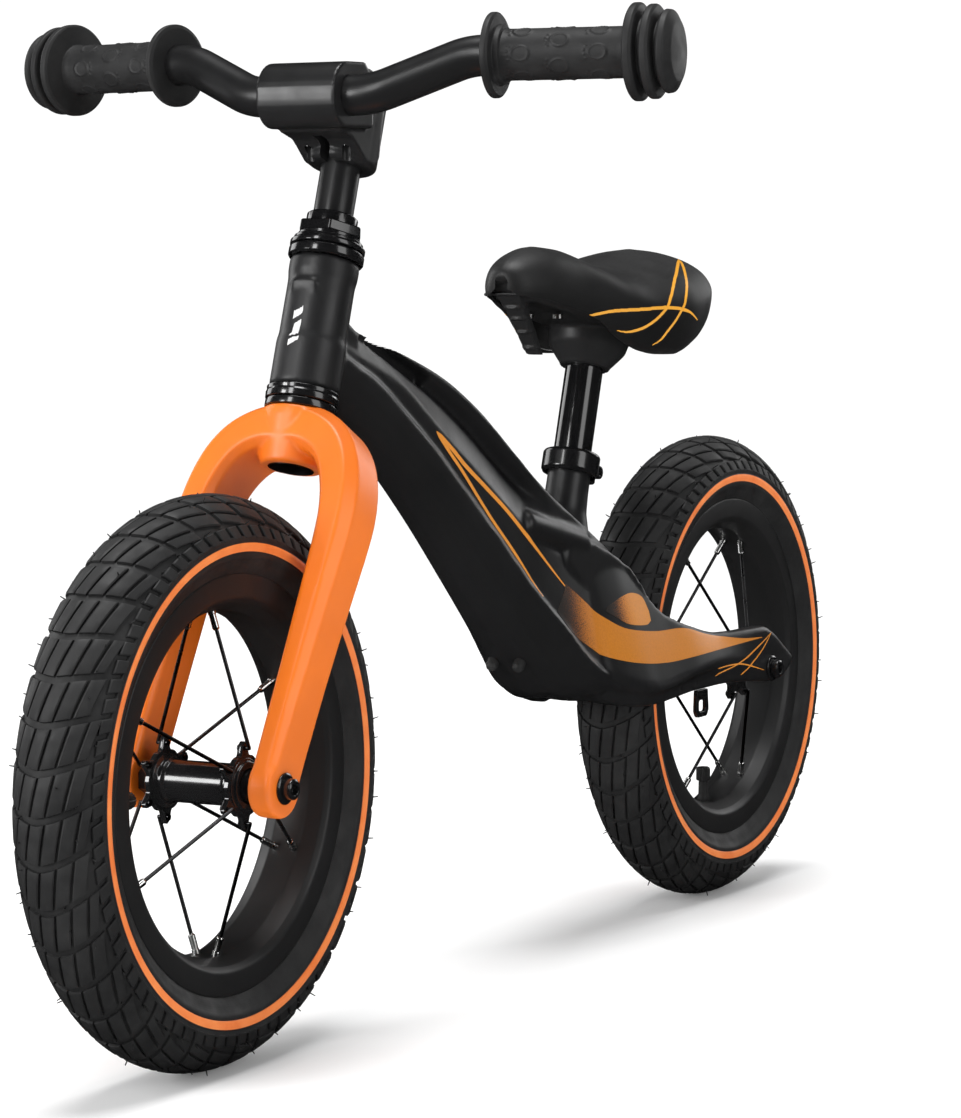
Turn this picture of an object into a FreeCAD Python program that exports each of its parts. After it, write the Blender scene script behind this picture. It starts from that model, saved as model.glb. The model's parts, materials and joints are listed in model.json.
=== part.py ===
import FreeCAD, Part
import math
import os
import re

import Sketcher

# Balance bike: cast frame and fork, two spoked wheels with pneumatic tyres, quill stem,
# handlebar with grips, and a saddle on a sliding post.
# Frame of the part: +X is the rider's left, -Y is forward, +Z is up. The origin is on the
# ground, on the mid-plane, midway between the two axles.

os.makedirs("parts", exist_ok=True)
doc = FreeCAD.newDocument("balance_bike")
sheet = doc.addObject("Spreadsheet::Sheet", "Sizes")

SIZES = {
    # running gear
    "wheelbase": 606,
    "tyre_radius": 152,
    "tyre_half_width": 28,
    "tread_shoulder_radius": 132,
    "tread_shoulder_half_width": 26.8,
    "tread_crown_radius": 28,
    "sidewall_radius": 125,
    "sidewall_half_width": 25.2,
    "tyre_wall": 3.6,
    "bead_radius": 102,
    "bead_half_width": 17,
    "rim_flange_radius": 111,
    "rim_half_width": 19.8,
    "rim_wall": 2.6,
    "rim_shoulder_radius": 98,
    "rim_well_radius": 91,
    "tube_ring_radius": 125.5,
    "tube_section_radius": 18,
    "tube_wall": 1.4,
    "rim_well_half_width": 9,
    "spoke_pairs": 6,
    "spoke_radius": 1.05,
    "spoke_stand_off": 1.3,
    "nipple_offset": 5.5,
    "nipple_radius": 2.1,
    "nipple_length": 13,
    "valve_radius": 3.6,
    "valve_length": 30,
    "valve_cap_radius": 4.6,
    "valve_cap_length": 9,
    # hub
    "hub_barrel_radius": 11.5,
    "hub_flange_radius": 17,
    "hub_flange_offset": 24.5,
    "hub_flange_thickness": 3.2,
    "hub_ear_circle": 19.8,
    "hub_ear_radius": 3.7,
    "hub_half_length": 28.5,
    "hub_bore_radius": 6.6,
    "hub_cup_radius": 9.6,
    "hub_ball_radius": 2.05,
    "hub_ball_circle": 7.45,
    "axle_radius": 5,
    "dropout_inner": 36.2,
    "dropout_outer": 50,
    "axle_washer_radius": 8.3,
    "axle_washer_thickness": 1.6,
    "washer_seat_gap": 0.7,
    "axle_bolt_head_radius": 5.6,
    "axle_bolt_head_height": 5,
    "axle_bolt_radius": 3,
    # steering axis and headset, heights measured along the axis from its reference point
    "head_y": -184,
    "head_z": 395,
    "head_lean": 19,
    "head_tube_bottom": -44.4,
    "head_tube_top": 29.6,
    "head_tube_radius": 18.6,
    "head_tube_collar_radius": 19.2,
    "steerer_radius": 12.7,
    "quill_radius": 11.1,
    "slide_gap": 0.05,
    "headset_radius": 20.8,
    "locknut_flats": 33,
    "cup_press_wall": 2.3,
    # frame casting
    "web_half_thickness": 6,
    "mouth_width": 26,
    # fork
    "fork_lean": 28.8,
    "fork_leg_depth": 32,
    "fork_crown_depth": 38,
    "fork_chamfer": 6,
    "crown_boss_radius": 19,
    # stem and handlebar
    "bar_y": -186,
    "bar_z": 513,
    "bar_radius": 11.1,
    "bar_wall": 2,
    "bar_half_centre": 38,
    "bar_rise_x": 88,
    "bar_rise_y": 18.5,
    "bar_rise_z": 20,
    "bar_end_x": 200,
    "bar_sweep": 10,
    "bar_bend_radius": 40,
    "stem_width": 49,
    "stem_barrel_radius": 19,
    "stem_block_width": 39,
    "grip_start_x": 100,
    "grip_body_radius": 13.7,
    "grip_inner_flange_radius": 23,
    "grip_outer_flange_radius": 26,
    # seat post and saddle
    "seat_y": 115,
    "seat_z": 296,
    "seat_lean": 18,
    "seat_tube_radius": 14.6,
    "seat_tube_neck_radius": 13.5,
    "seat_tube_depth": 98,
    "post_radius": 11.75,
    "post_wall": 1.8,
    "post_bottom": -60,
    "post_top": 84,
    "collar_radius": 17.8,
    "collar_height": 14,
}

for row, (name, value) in enumerate(SIZES.items(), start=1):
    sheet.set("A%d" % row, name)
    sheet.set("B%d" % row, str(value))
    sheet.setAlias("B%d" % row, name)
doc.recompute()

NAMES = re.compile(r"\b(" + "|".join(sorted(SIZES, key=len, reverse=True)) + r")\b")


def formula(text):
    """Expression text for a formula written with the sheet's own names."""
    return NAMES.sub(r"Sizes.\1", str(text))


def number(text):
    """Present value of a formula."""
    return float(sheet.evalExpression(formula(text)))


def bind(thing, **formulas):
    for name, text in formulas.items():
        thing.setExpression(name, formula(text))


# ---------------------------------------------------------------- frames of reference

VECTOR = FreeCAD.Vector
X_AXIS = VECTOR(1, 0, 0)
Y_AXIS = VECTOR(0, 1, 0)
Z_AXIS = VECTOR(0, 0, 1)


def turned_about(axis, degrees, base=VECTOR(0, 0, 0)):
    return FreeCAD.Placement(base, FreeCAD.Rotation(axis, degrees))


# Local Z of "head" runs up the steering axis, of "seat" up the seat tube, of the two axle
# frames to the rider's left, and of "fork" up the fork legs from the front axle.
FRAMES = {
    "bike": FreeCAD.Placement(),
    "head": turned_about(X_AXIS, -number("head_lean"), VECTOR(0, number("head_y"), number("head_z"))),
    "seat": turned_about(X_AXIS, -number("seat_lean"), VECTOR(0, number("seat_y"), number("seat_z"))),
    "front_axle": turned_about(Y_AXIS, 90, VECTOR(0, -number("wheelbase / 2"), number("tyre_radius"))),
    "rear_axle": turned_about(Y_AXIS, 90, VECTOR(0, number("wheelbase / 2"), number("tyre_radius"))),
    "fork": turned_about(
        X_AXIS, -number("fork_lean"), VECTOR(0, -number("wheelbase / 2"), number("tyre_radius"))
    ),
    "bar": FreeCAD.Placement(VECTOR(0, number("bar_y"), number("bar_z")), FreeCAD.Rotation()),
}

nodes = {}


def keep(thing, node):
    """Give a finished sub-part its node name."""
    thing.Label = node
    nodes[node] = thing
    return thing


# ---------------------------------------------------------------- solids from the workbenches

def new_body(node, frame="bike"):
    body = doc.addObject("PartDesign::Body", node)
    body.Placement = FRAMES[frame]
    return body


def origin_plane(body, role):
    return [item for item in body.Origin.OriginFeatures if item.Role == role][0]


def edge_between(start, end, radius):
    """A line, or the short arc of that radius whose centre is left of the way."""
    if not radius:
        return Part.LineSegment(start, end)
    chord = end - start
    side = VECTOR(-chord.y, chord.x, 0).normalize()
    rise = math.sqrt(radius ** 2 - (chord.Length / 2) ** 2)
    centre = start + chord * 0.5 + side * rise
    return Part.Arc(start, centre - side * radius, end)


def outline(body, plane, corners, offset=None, name="outline"):
    """Closed sketch through corners (a, b) or (a, b, radius of the edge that follows)."""
    sketch = body.newObject("Sketcher::SketchObject", name)
    sketch.AttachmentSupport = [(origin_plane(body, plane), "")]
    sketch.MapMode = "FlatFace"
    if offset is not None:
        sketch.AttachmentOffset = offset
    points = [VECTOR(number(corner[0]), number(corner[1]), 0) for corner in corners]
    for index, corner in enumerate(corners):
        radius = number(corner[2]) if len(corner) > 2 else 0
        sketch.addGeometry(edge_between(points[index], points[(index + 1) % len(points)], radius))
        if radius:
            rule = sketch.addConstraint(Sketcher.Constraint("Radius", index, radius))
            sketch.setExpression("Constraints[%d]" % rule, formula(corner[2]))
    for index, corner in enumerate(corners):
        sketch.addConstraint(Sketcher.Constraint("Coincident", index, 2, (index + 1) % len(corners), 1))
        for kind, text in (("DistanceX", corner[0]), ("DistanceY", corner[1])):
            rule = sketch.addConstraint(Sketcher.Constraint(kind, -1, 1, index, 1, number(text)))
            sketch.setExpression("Constraints[%d]" % rule, formula(text))
    return sketch


def revolve(body, corners, name="turning"):
    """Turn an outline of (radius, height) corners about the body's own Z axis."""
    sketch = outline(body, "XZ_Plane", corners)
    turning = body.newObject("PartDesign::Revolution", name)
    turning.Profile = sketch
    turning.ReferenceAxis = (sketch, ["V_Axis"])
    turning.Angle = 360
    return turning


def turned(node, frame, corners):
    body = new_body(node, frame)
    revolve(body, corners)
    return body


def pad(body, plane, corners, length, name="pad"):
    """Symmetric pad of an outline on one of the body's origin planes."""
    sketch = outline(body, plane, corners)
    feature = body.newObject("PartDesign::Pad", name)
    feature.Profile = sketch
    feature.SideType = "Symmetric"
    bind(feature, Length=length)
    return feature


def loft(body, kind, plane, sections, straight=False):
    """Loft through (corners, offset placement) sections, with straight sides if asked."""
    sketches = [outline(body, plane, corners, offset) for corners, offset in sections]
    feature = body.newObject("PartDesign::" + kind, kind)
    feature.Profile = sketches[0]
    feature.Sections = sketches[1:]
    feature.Ruled = straight
    return feature


def rod_feature(body, kind, radius, length, base, rotation=FreeCAD.Rotation()):
    """Additive or subtractive cylinder placed in the body's own frame."""
    feature = body.newObject("PartDesign::" + kind, kind)
    feature.AttachmentSupport = [(origin_plane(body, "XY_Plane"), "")]
    feature.MapMode = "FlatFace"
    feature.AttachmentOffset = FreeCAD.Placement(base, rotation)
    bind(feature, Radius=radius, Height=length)
    return feature


def mirror_last(body, feature):
    """Repeat a feature on the other side of the mid-plane."""
    doc.recompute()
    mirrored = body.newObject("PartDesign::Mirrored", "other_side")
    mirrored.Originals = [feature]
    mirrored.MirrorPlane = (origin_plane(body, "YZ_Plane"), [""])
    body.Tip = mirrored
    return mirrored


# ---------------------------------------------------------------- solids from Part primitives

def cylinder(radius, length, placement, name="rod"):
    rod = doc.addObject("Part::Cylinder", name)
    bind(rod, Radius=radius, Height=length)
    rod.Placement = placement
    return rod


def ball(radius, centre, name="ball"):
    sphere = doc.addObject("Part::Sphere", name)
    bind(sphere, Radius=radius)
    sphere.Placement = FreeCAD.Placement(centre, FreeCAD.Rotation())
    return sphere


def joined(things, name="joined"):
    fuse = doc.addObject("Part::MultiFuse", name)
    fuse.Shapes = things
    return fuse


def cut(base, tool, name="cut"):
    result = doc.addObject("Part::Cut", name)
    result.Base = base
    result.Tool = tool
    return result


def group(things, name="group"):
    compound = doc.addObject("Part::Compound", name)
    compound.Links = things
    return compound


def mirror_image(thing):
    """The same piece on the other side of the bike's mid-plane."""
    other = doc.addObject("Part::Mirroring", "other_side")
    other.Source = thing
    other.Normal = X_AXIS
    return other


def mirrored_pair(thing):
    return group([thing, mirror_image(thing)])


def ball_ring(count, circle, height, radius, frame):
    """Loose balls evenly round the frame's Z axis."""
    balls = []
    for index in range(count):
        angle = 2 * math.pi * index / count
        spot = VECTOR(circle * math.cos(angle), circle * math.sin(angle), height)
        balls.append(ball(radius, frame.multVec(spot)))
    return balls


def direction_placement(start, end):
    """Placement at start whose Z points at end."""
    return FreeCAD.Placement(start, FreeCAD.Rotation(Z_AXIS, end - start))


def hexagon(flats):
    """Corners of a hexagon, given its width across flats."""
    corners = []
    for index in range(6):
        angle = 60 * index
        corners.append(("(%s) / sqrt(3) * cos(%d)" % (flats, angle),
                        "(%s) / sqrt(3) * sin(%d)" % (flats, angle)))
    return corners


# ---------------------------------------------------------------- frame casting

# Stations of the main beam from the head tube to the stays. Each gives the place along the
# bike, then height and half width of the bottom, the ledge, the strip's top and the ridge.
BEAM = [
    (-186, (346, 11), (373, 14.5), (382, 14), (391, 12.5)),
    (-127, (313, 12), (344, 18.5), (359, 16), (374, 14)),
    (-69, (269, 13), (302, 21), (322, 18.3), (356, 15.5)),
    (-12, (218, 14), (257, 23.5), (286, 19.5), (321, 18.5)),
    (34, (178, 15), (217, 27), (258, 21), (292, 21)),
    (60, (158, 18), (191, 31), (245, 22), (278, 22)),
    (86, (151, 20), (172, 34), (236, 24), (262, 23.5)),
    (118, (147.5, 23), (164, 36), (226, 27), (244, 25)),
]

# Stations of one side: place along the bike, inner and outer half width, low and high edge.
# The root is part of the casting's beam, and the stay starts where the root ends.
STAY_ROOT = [
    (78, 8, 24, 160, 240),
    (118, 20, 35, 147, 240),
]
STAY = [
    STAY_ROOT[-1],
    (145, 29.5, 40, 143.5, 218),
    (170, 33.6, 44, 143.5, 202),
    (205, 34.6, 47.6, 146, 189),
    (245, 35.6, 49.4, 146, 182),
    (285, 36.2, 50, 144, 181.5),
    (318, 36.2, 50, 144, 171),
    (342, 37, 49.2, 150, 160),
]


def across(y):
    """Offset of a section from the bike's XZ plane, whose normal points forward."""
    return FreeCAD.Placement(VECTOR(0, 0, -y), FreeCAD.Rotation())


def beam_section(rings):
    left = [(half, height) for height, half in rings]
    right = [(-half, height) for height, half in reversed(rings)]
    return left + right


def stay_section(inner, outer, low, high):
    edge = 0.22 * (high - low)
    soft = 0.3 * (outer - inner)
    return [
        (inner, low + soft),
        (inner + soft, low),
        (outer - soft, low),
        (outer, low + edge),
        (outer, high - edge),
        (outer - soft, high),
        (inner + soft, high),
        (inner, high - soft),
    ]


def stay_sections(stations):
    return [(stay_section(*edges), across(y)) for y, *edges in stations]


def make_frame_casting():
    body = new_body("frame_casting")
    beam = [(beam_section(rings), across(y)) for y, *rings in BEAM]
    loft(body, "AdditiveLoft", "XZ_Plane", beam, straight=True)
    mirror_last(body, loft(body, "AdditiveLoft", "XZ_Plane", stay_sections(STAY_ROOT)))

    # cored mouth at the lower corner, under the seat tube
    mouth = body.newObject("PartDesign::Pocket", "lower_mouth")
    mouth.Profile = outline(body, "YZ_Plane", [(64, 140), (100, 125), (100, 160), (84, 163), (64, 168)])
    mouth.SideType = "Symmetric"
    bind(mouth, Length="mouth_width")

    # side recess between the ridge and the strip, leaving a web on the mid-plane
    recess_edge = [(-152, 376), (-118, 356), (-82, 332), (-51, 313), (-13, 289), (14, 272),
                   (32, 270), (34, 277), (10, 296), (-35, 323), (-77, 346), (-118, 363), (-140, 371)]
    lift = FreeCAD.Placement(VECTOR(0, 0, number("web_half_thickness")), FreeCAD.Rotation())
    recess = body.newObject("PartDesign::Pocket", "side_recess")
    recess.Profile = outline(body, "YZ_Plane", recess_edge, lift)
    recess.Length = 60
    recess.Reversed = True
    mirror_last(body, recess)

    # head tube with a collar at each end, and the bore that the steerer passes through
    head = FRAMES["head"]
    low = number("head_tube_bottom")
    tube_length = number("head_tube_top - head_tube_bottom")
    for radius, start, length in (
        ("head_tube_radius", low, tube_length),
        ("head_tube_collar_radius", low, 28),
        ("head_tube_collar_radius", low + tube_length - 10, 10),
    ):
        rod_feature(body, "AdditiveCylinder", radius, length, head.multVec(Z_AXIS * start), head.Rotation)
    rod_feature(body, "SubtractiveCylinder", "steerer_radius + cup_press_wall", tube_length + 4,
                head.multVec(Z_AXIS * (low - 2)), head.Rotation)
    cup_room = 14
    rod_feature(body, "SubtractiveCylinder", "headset_radius + 0.6", cup_room,
                head.multVec(Z_AXIS * (low - cup_room)), head.Rotation)

    # seat tube with a thinner neck under the collar
    seat = FRAMES["seat"]
    floor = 4
    foot = seat.multVec(Z_AXIS * -number("seat_tube_depth + %d" % floor))
    neck = "seat_tube_depth + %d + collar_height / 2" % floor
    rod_feature(body, "AdditiveCylinder", "seat_tube_neck_radius", neck, foot, seat.Rotation)
    rod_feature(body, "AdditiveCylinder", "seat_tube_radius", neck + " - collar_height - 1", foot, seat.Rotation)
    rod_feature(body, "SubtractiveCylinder", "post_radius + slide_gap", "seat_tube_depth + 20",
                seat.multVec(Z_AXIS * -number("seat_tube_depth")), seat.Rotation)
    keep(body, "frame_casting")


def make_stays():
    """The two arms that reach back to the dropouts, with the rear axle's holes."""
    arm = new_body("left_stay")
    loft(arm, "AdditiveLoft", "XZ_Plane", stay_sections(STAY))
    axle = VECTOR(0, number("wheelbase / 2"), number("tyre_radius"))
    along = FreeCAD.Rotation(Y_AXIS, 90)
    rod_feature(arm, "SubtractiveCylinder", "axle_radius + 0.1", "2 * dropout_outer", axle, along)
    rod_feature(arm, "SubtractiveCylinder", "axle_washer_radius + washer_seat_gap", 10,
                axle + X_AXIS * number("dropout_outer"), along)
    keep(arm, "left_stay")
    keep(mirror_image(arm), "right_stay")


# ---------------------------------------------------------------- headset

def make_headset():
    lower = turned("lower_headset_cup", "head", [
        ("steerer_radius + 4.4", "head_tube_bottom - 7"),
        ("headset_radius - 0.6", "head_tube_bottom - 7"),
        ("headset_radius - 0.6", "head_tube_bottom"),
        ("steerer_radius + cup_press_wall - 0.05", "head_tube_bottom"),
        ("steerer_radius + cup_press_wall - 0.05", "head_tube_bottom + 8"),
        ("steerer_radius + 0.8", "head_tube_bottom + 8"),
        ("steerer_radius + 0.8", "head_tube_bottom - 2.2"),
        ("steerer_radius + 4.4", "head_tube_bottom - 2.2"),
    ])
    keep(lower, "lower_headset_cup")
    upper = turned("upper_headset_cup", "head", [
        ("steerer_radius + 0.8", "head_tube_top - 8"),
        ("steerer_radius + cup_press_wall - 0.05", "head_tube_top - 8"),
        ("steerer_radius + cup_press_wall - 0.05", "head_tube_top"),
        ("headset_radius - 0.5", "head_tube_top"),
        ("headset_radius", "head_tube_top + 1"),
        ("headset_radius", "head_tube_top + 5.4"),
        ("headset_radius - 0.6", "head_tube_top + 6"),
        ("steerer_radius + 4.8", "head_tube_top + 6"),
        ("steerer_radius + 4.8", "head_tube_top + 1.6"),
        ("steerer_radius + 0.8", "head_tube_top + 1.6"),
    ])
    keep(upper, "upper_headset_cup")
    race = turned("crown_race", "head", [
        ("steerer_radius + 0.02", "head_tube_bottom - 11.6"),
        ("headset_radius - 1", "head_tube_bottom - 11.6"),
        ("headset_radius - 1", "head_tube_bottom - 7.4"),
        ("steerer_radius + 4", "head_tube_bottom - 7.4"),
        ("steerer_radius + 0.2", "head_tube_bottom - 5.6"),
        ("steerer_radius + 0.02", "head_tube_bottom - 5.6"),
    ])
    keep(race, "crown_race")
    cone = turned("upper_race", "head", [
        ("steerer_radius + 0.02", "head_tube_top + 5"),
        ("steerer_radius + 0.3", "head_tube_top + 5"),
        ("steerer_radius + 4.2", "head_tube_top + 6.4"),
        ("headset_radius", "head_tube_top + 6.4"),
        ("headset_radius", "head_tube_top + 10.6"),
        ("headset_radius - 1.4", "head_tube_top + 12"),
        ("steerer_radius + 0.02", "head_tube_top + 12"),
    ])
    keep(cone, "upper_race")
    washer = turned("keyed_washer", "head", [
        ("steerer_radius + 0.05", "head_tube_top + 12.1"),
        ("steerer_radius + 4.6", "head_tube_top + 12.1"),
        ("steerer_radius + 4.6", "head_tube_top + 13.9"),
        ("steerer_radius + 0.05", "head_tube_top + 13.9"),
    ])
    keep(washer, "keyed_washer")

    nut = new_body("headset_locknut", "head")
    lift = FreeCAD.Placement(VECTOR(0, 0, number("head_tube_top + 14")), FreeCAD.Rotation())
    flats = nut.newObject("PartDesign::Pad", "flats")
    flats.Profile = outline(nut, "XY_Plane", hexagon("locknut_flats"), lift)
    flats.Length = 6
    neck_base = VECTOR(0, 0, number("head_tube_top + 19"))
    rod_feature(nut, "AdditiveCylinder", "locknut_flats / 2 - 2.4", 7.4, neck_base)
    rod_feature(nut, "SubtractiveCylinder", "steerer_radius + 0.02", 20,
                VECTOR(0, 0, number("head_tube_top + 10")))
    keep(nut, "headset_locknut")

    circle = number("steerer_radius + 2.45")
    for node, height, radius in (("lower_headset_balls", "head_tube_bottom - 3.3", 1.0),
                                 ("upper_headset_balls", "head_tube_top + 3.4", 1.6)):
        keep(group(ball_ring(18, circle, number(height), radius, FRAMES["head"])), node)


# ---------------------------------------------------------------- fork

def chamfered(width, depth, corner):
    """Rectangle width by depth about the origin, with its corners cut off."""
    half_w = "(%s) / 2" % width
    half_d = "(%s) / 2" % depth
    inset_w = "(%s) / 2 - %s" % (width, corner)
    inset_d = "(%s) / 2 - %s" % (depth, corner)
    return [
        (inset_w, "-" + half_d), (half_w, "-(%s)" % inset_d),
        (half_w, inset_d), (inset_w, half_d),
        ("-(%s)" % inset_w, half_d), ("-" + half_w, inset_d),
        ("-" + half_w, "-(%s)" % inset_d), ("-(%s)" % inset_w, "-" + half_d),
    ]


def make_fork():
    body = new_body("fork_casting", "fork")
    leg_middle = number("(dropout_inner + dropout_outer) / 2")
    # centre across, centre up the leg, turn of the section, thickness, depth, chamfer
    stations = [
        (leg_middle, 0, 0, 13.8, "fork_leg_depth", 4),
        (44, 60, 0, 16, "fork_leg_depth + 1", 5),
        (45, 120, 0, 19, "fork_leg_depth + 4", 5.5),
        (44.5, 158, 8, 21, "fork_crown_depth", "fork_chamfer"),
        (35, 188, 42, 24, "fork_crown_depth", "fork_chamfer"),
        (16, 199, 76, 25, "fork_crown_depth", "fork_chamfer"),
        (0, 200, 90, 25, "fork_crown_depth", "fork_chamfer"),
    ]
    sections = []
    for across_x, up, turn, thickness, depth, corner in stations:
        offset = turned_about(Y_AXIS, -turn, VECTOR(across_x, 0, up))
        sections.append((chamfered(thickness, depth, corner), offset))
    leg = loft(body, "AdditiveLoft", "XY_Plane", sections)
    mirror_last(body, leg)
    end = rod_feature(body, "AdditiveCylinder", "fork_leg_depth / 2", "dropout_outer - dropout_inner",
                      VECTOR(number("dropout_inner"), 0, 0), FreeCAD.Rotation(Y_AXIS, 90))
    mirror_last(body, end)

    # crown boss round the steerer, and the bores
    to_fork = FRAMES["fork"].inverse()
    steering = to_fork.Rotation * FRAMES["head"].Rotation
    crown_top = number("head_tube_bottom") - 11.6
    boss_length = 30
    boss_foot = to_fork.multVec(FRAMES["head"].multVec(VECTOR(0, 0, crown_top - boss_length)))
    rod_feature(body, "AdditiveCylinder", "crown_boss_radius", boss_length, boss_foot, steering)
    hole_foot = to_fork.multVec(FRAMES["head"].multVec(VECTOR(0, 0, crown_top - 2 * boss_length)))
    rod_feature(body, "SubtractiveCylinder", "steerer_radius + 0.02", 3 * boss_length, hole_foot, steering)
    along = FreeCAD.Rotation(Y_AXIS, 90)
    outer = number("dropout_outer")
    seat_depth = 10
    rod_feature(body, "SubtractiveCylinder", "axle_radius + 0.1", "2 * dropout_outer", X_AXIS * -outer, along)
    for start in (outer, -outer - seat_depth):
        rod_feature(body, "SubtractiveCylinder", "axle_washer_radius + washer_seat_gap", seat_depth,
                    X_AXIS * start, along)
    keep(body, "fork_casting")

    steerer = turned("steerer_tube", "head", [
        ("quill_radius + slide_gap", "head_tube_bottom - 44"),
        ("steerer_radius", "head_tube_bottom - 44"),
        ("steerer_radius", "head_tube_top + 26"),
        ("quill_radius + slide_gap", "head_tube_top + 26"),
    ])
    keep(steerer, "steerer_tube")


# ---------------------------------------------------------------- stem and handlebar

def make_stem():
    body = new_body("stem_clamp", "bar")
    # side profile of the block behind the barrel, in the bar's own frame, and its round back
    block = [(-3, 15.5), (30, 15.5), (42, 9), (44, -6), (38, -36), (24, -36), (10, -23), (-3, -19)]
    pad(body, "YZ_Plane", block, "stem_block_width", "block")
    to_bar = FRAMES["bar"].inverse()
    back_low, back_high = 84, 132
    back_foot = to_bar.multVec(FRAMES["head"].multVec(Z_AXIS * back_low))
    rod_feature(body, "AdditiveCylinder", "stem_block_width / 2", back_high - back_low, back_foot,
                FRAMES["head"].Rotation)
    start = VECTOR(-number("stem_width / 2"), 0, 0)
    along = FreeCAD.Rotation(Y_AXIS, 90)
    rod_feature(body, "AdditiveCylinder", "stem_barrel_radius", "stem_width", start, along)
    rod_feature(body, "SubtractiveCylinder", "bar_radius + slide_gap", "stem_width + 10",
                VECTOR(-number("stem_width / 2 + 5"), 0, 0), along)
    # slit that lets the barrel close on the bar, and the quill's bore
    slit = body.newObject("PartDesign::Pocket", "slit")
    slit.Profile = outline(body, "YZ_Plane", [(4, -14), (18, -14), (28, -42), (4, -42)])
    slit.SideType = "Symmetric"
    slit.Length = 6
    quill_foot = to_bar.multVec(FRAMES["head"].multVec(VECTOR(0, 0, 60)))
    rod_feature(body, "SubtractiveCylinder", "quill_radius + 0.02", 57, quill_foot, FRAMES["head"].Rotation)
    head_foot = to_bar.multVec(FRAMES["head"].multVec(VECTOR(0, 0, 110)))
    rod_feature(body, "SubtractiveCylinder", 4.3, 40, head_foot, FRAMES["head"].Rotation)
    counterbore = to_bar.multVec(FRAMES["head"].multVec(VECTOR(0, 0, 126)))
    rod_feature(body, "SubtractiveCylinder", 7.2, 40, counterbore, FRAMES["head"].Rotation)
    screws = []
    for side in (-1, 1):
        foot = VECTOR(side * 12, 16, -26.5)
        rod_feature(body, "SubtractiveCylinder", 2.6, 34, foot - Z_AXIS * 14)
        spot = FRAMES["bar"].multVec(foot)
        screws.append(cylinder(2.5, 19, FreeCAD.Placement(spot, FreeCAD.Rotation())))
    keep(body, "stem_clamp")
    keep(group(screws), "stem_clamp_screws")

    quill = turned("quill_tube", "head", [
        ("quill_radius - 2.6", -10), ("quill_radius", -10), ("quill_radius", 117), ("quill_radius - 2.6", 117),
    ])
    keep(quill, "quill_tube")
    wedge = turned("quill_wedge", "head", [
        (4.2, -32), ("quill_radius", -32), ("quill_radius", -10.4), (4.2, -10.4),
    ])
    keep(wedge, "quill_wedge")
    bolt = turned("quill_bolt", "head", [
        (0, -34), (4, -34), (4, 126.2), (6.8, 126.2), (6.8, 133), (3, 133), (3, 129), (0, 129),
    ])
    keep(bolt, "quill_bolt")


def bar_path():
    """Centre line of the handlebar from right to left, straight runs joined by arcs."""
    centre = VECTOR(0, number("bar_y"), number("bar_z"))
    sweep = math.radians(number("bar_sweep"))
    rise = VECTOR(number("bar_rise_x"), number("bar_rise_y"), number("bar_rise_z"))
    reach = number("bar_end_x") - rise.x
    half = [
        VECTOR(number("bar_half_centre"), 0, 0),
        rise,
        rise + VECTOR(reach, reach * math.tan(sweep), 0),
    ]
    left = [centre + point for point in half]
    right = [VECTOR(-point.x, point.y, point.z) for point in reversed(left)]
    return right + left


def rounded_wire(points, radius):
    """Polyline with every inner corner replaced by a tangent arc."""
    edges = []
    start = points[0]
    for before, corner, after in zip(points, points[1:], points[2:]):
        back = (before - corner).normalize()
        on = (after - corner).normalize()
        half_turn = (math.pi - back.getAngle(on)) / 2
        setback = radius * math.tan(half_turn)
        first = corner + back * setback
        last = corner + on * setback
        bisector = (back + on).normalize()
        middle = corner + bisector * (radius / math.cos(half_turn) - radius)
        edges.append(Part.makeLine(start, first))
        edges.append(Part.Arc(first, middle, last).toShape())
        start = last
    edges.append(Part.makeLine(start, points[-1]))
    return Part.Wire(edges)


def pipe(points, radius, bend):
    wire = rounded_wire(points, bend)
    heading = (points[1] - points[0]).normalize()
    ring = Part.Wire(Part.makeCircle(radius, points[0], heading))
    return wire.makePipeShell([ring], True, False)


def make_handlebar():
    bend = number("bar_bend_radius")
    outside = pipe(bar_path(), number("bar_radius"), bend)
    inside = pipe(bar_path(), number("bar_radius - bar_wall"), bend)
    bar = doc.addObject("Part::Feature", "handlebar")
    bar.Shape = outside.cut(inside)
    keep(bar, "handlebar")

    sweep = number("bar_sweep")
    corner = number("bar_rise_x")
    for node, side in (("left_grip", 1), ("right_grip", -1)):
        inner = "bar_radius + 0.02"
        body = turned(node, "bike", [
            (inner, 0), ("grip_inner_flange_radius - 2", 0), ("grip_inner_flange_radius", 1.8),
            ("grip_inner_flange_radius - 0.6", 4.6), ("grip_body_radius + 2", 6), ("grip_body_radius", 9),
            ("grip_body_radius", 76), ("grip_body_radius + 2", 79), ("grip_outer_flange_radius - 1", 80),
            ("grip_outer_flange_radius", 82), ("grip_outer_flange_radius - 0.6", 85), (19, 86),
            (19, 88), (24.5, 88.6), (25, 91), (24.4, 93.6), (17, 94.4), (17, 96), (21.5, 96.6),
            (22, 99), (20.5, 102), (15, 104.2), (0, 105), (0, 101.7), (inner, 101.7),
        ])
        along = number("grip_start_x") - corner
        slope = math.tan(math.radians(sweep))
        base = VECTOR(side * number("grip_start_x"),
                      number("bar_y + bar_rise_y") + along * slope,
                      number("bar_z + bar_rise_z"))
        outward = VECTOR(side, slope, 0)
        body.Placement = direction_placement(base, base + outward)
        keep(body, node)


# ---------------------------------------------------------------- wheels

def pair_angles(valve_angle):
    """Angles of the spoke pairs, with the valve midway between two of them."""
    pitch = 360 / number("spoke_pairs")
    return [math.radians(valve_angle + (index + 0.5) * pitch) for index in range(int(360 / pitch))]


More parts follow.
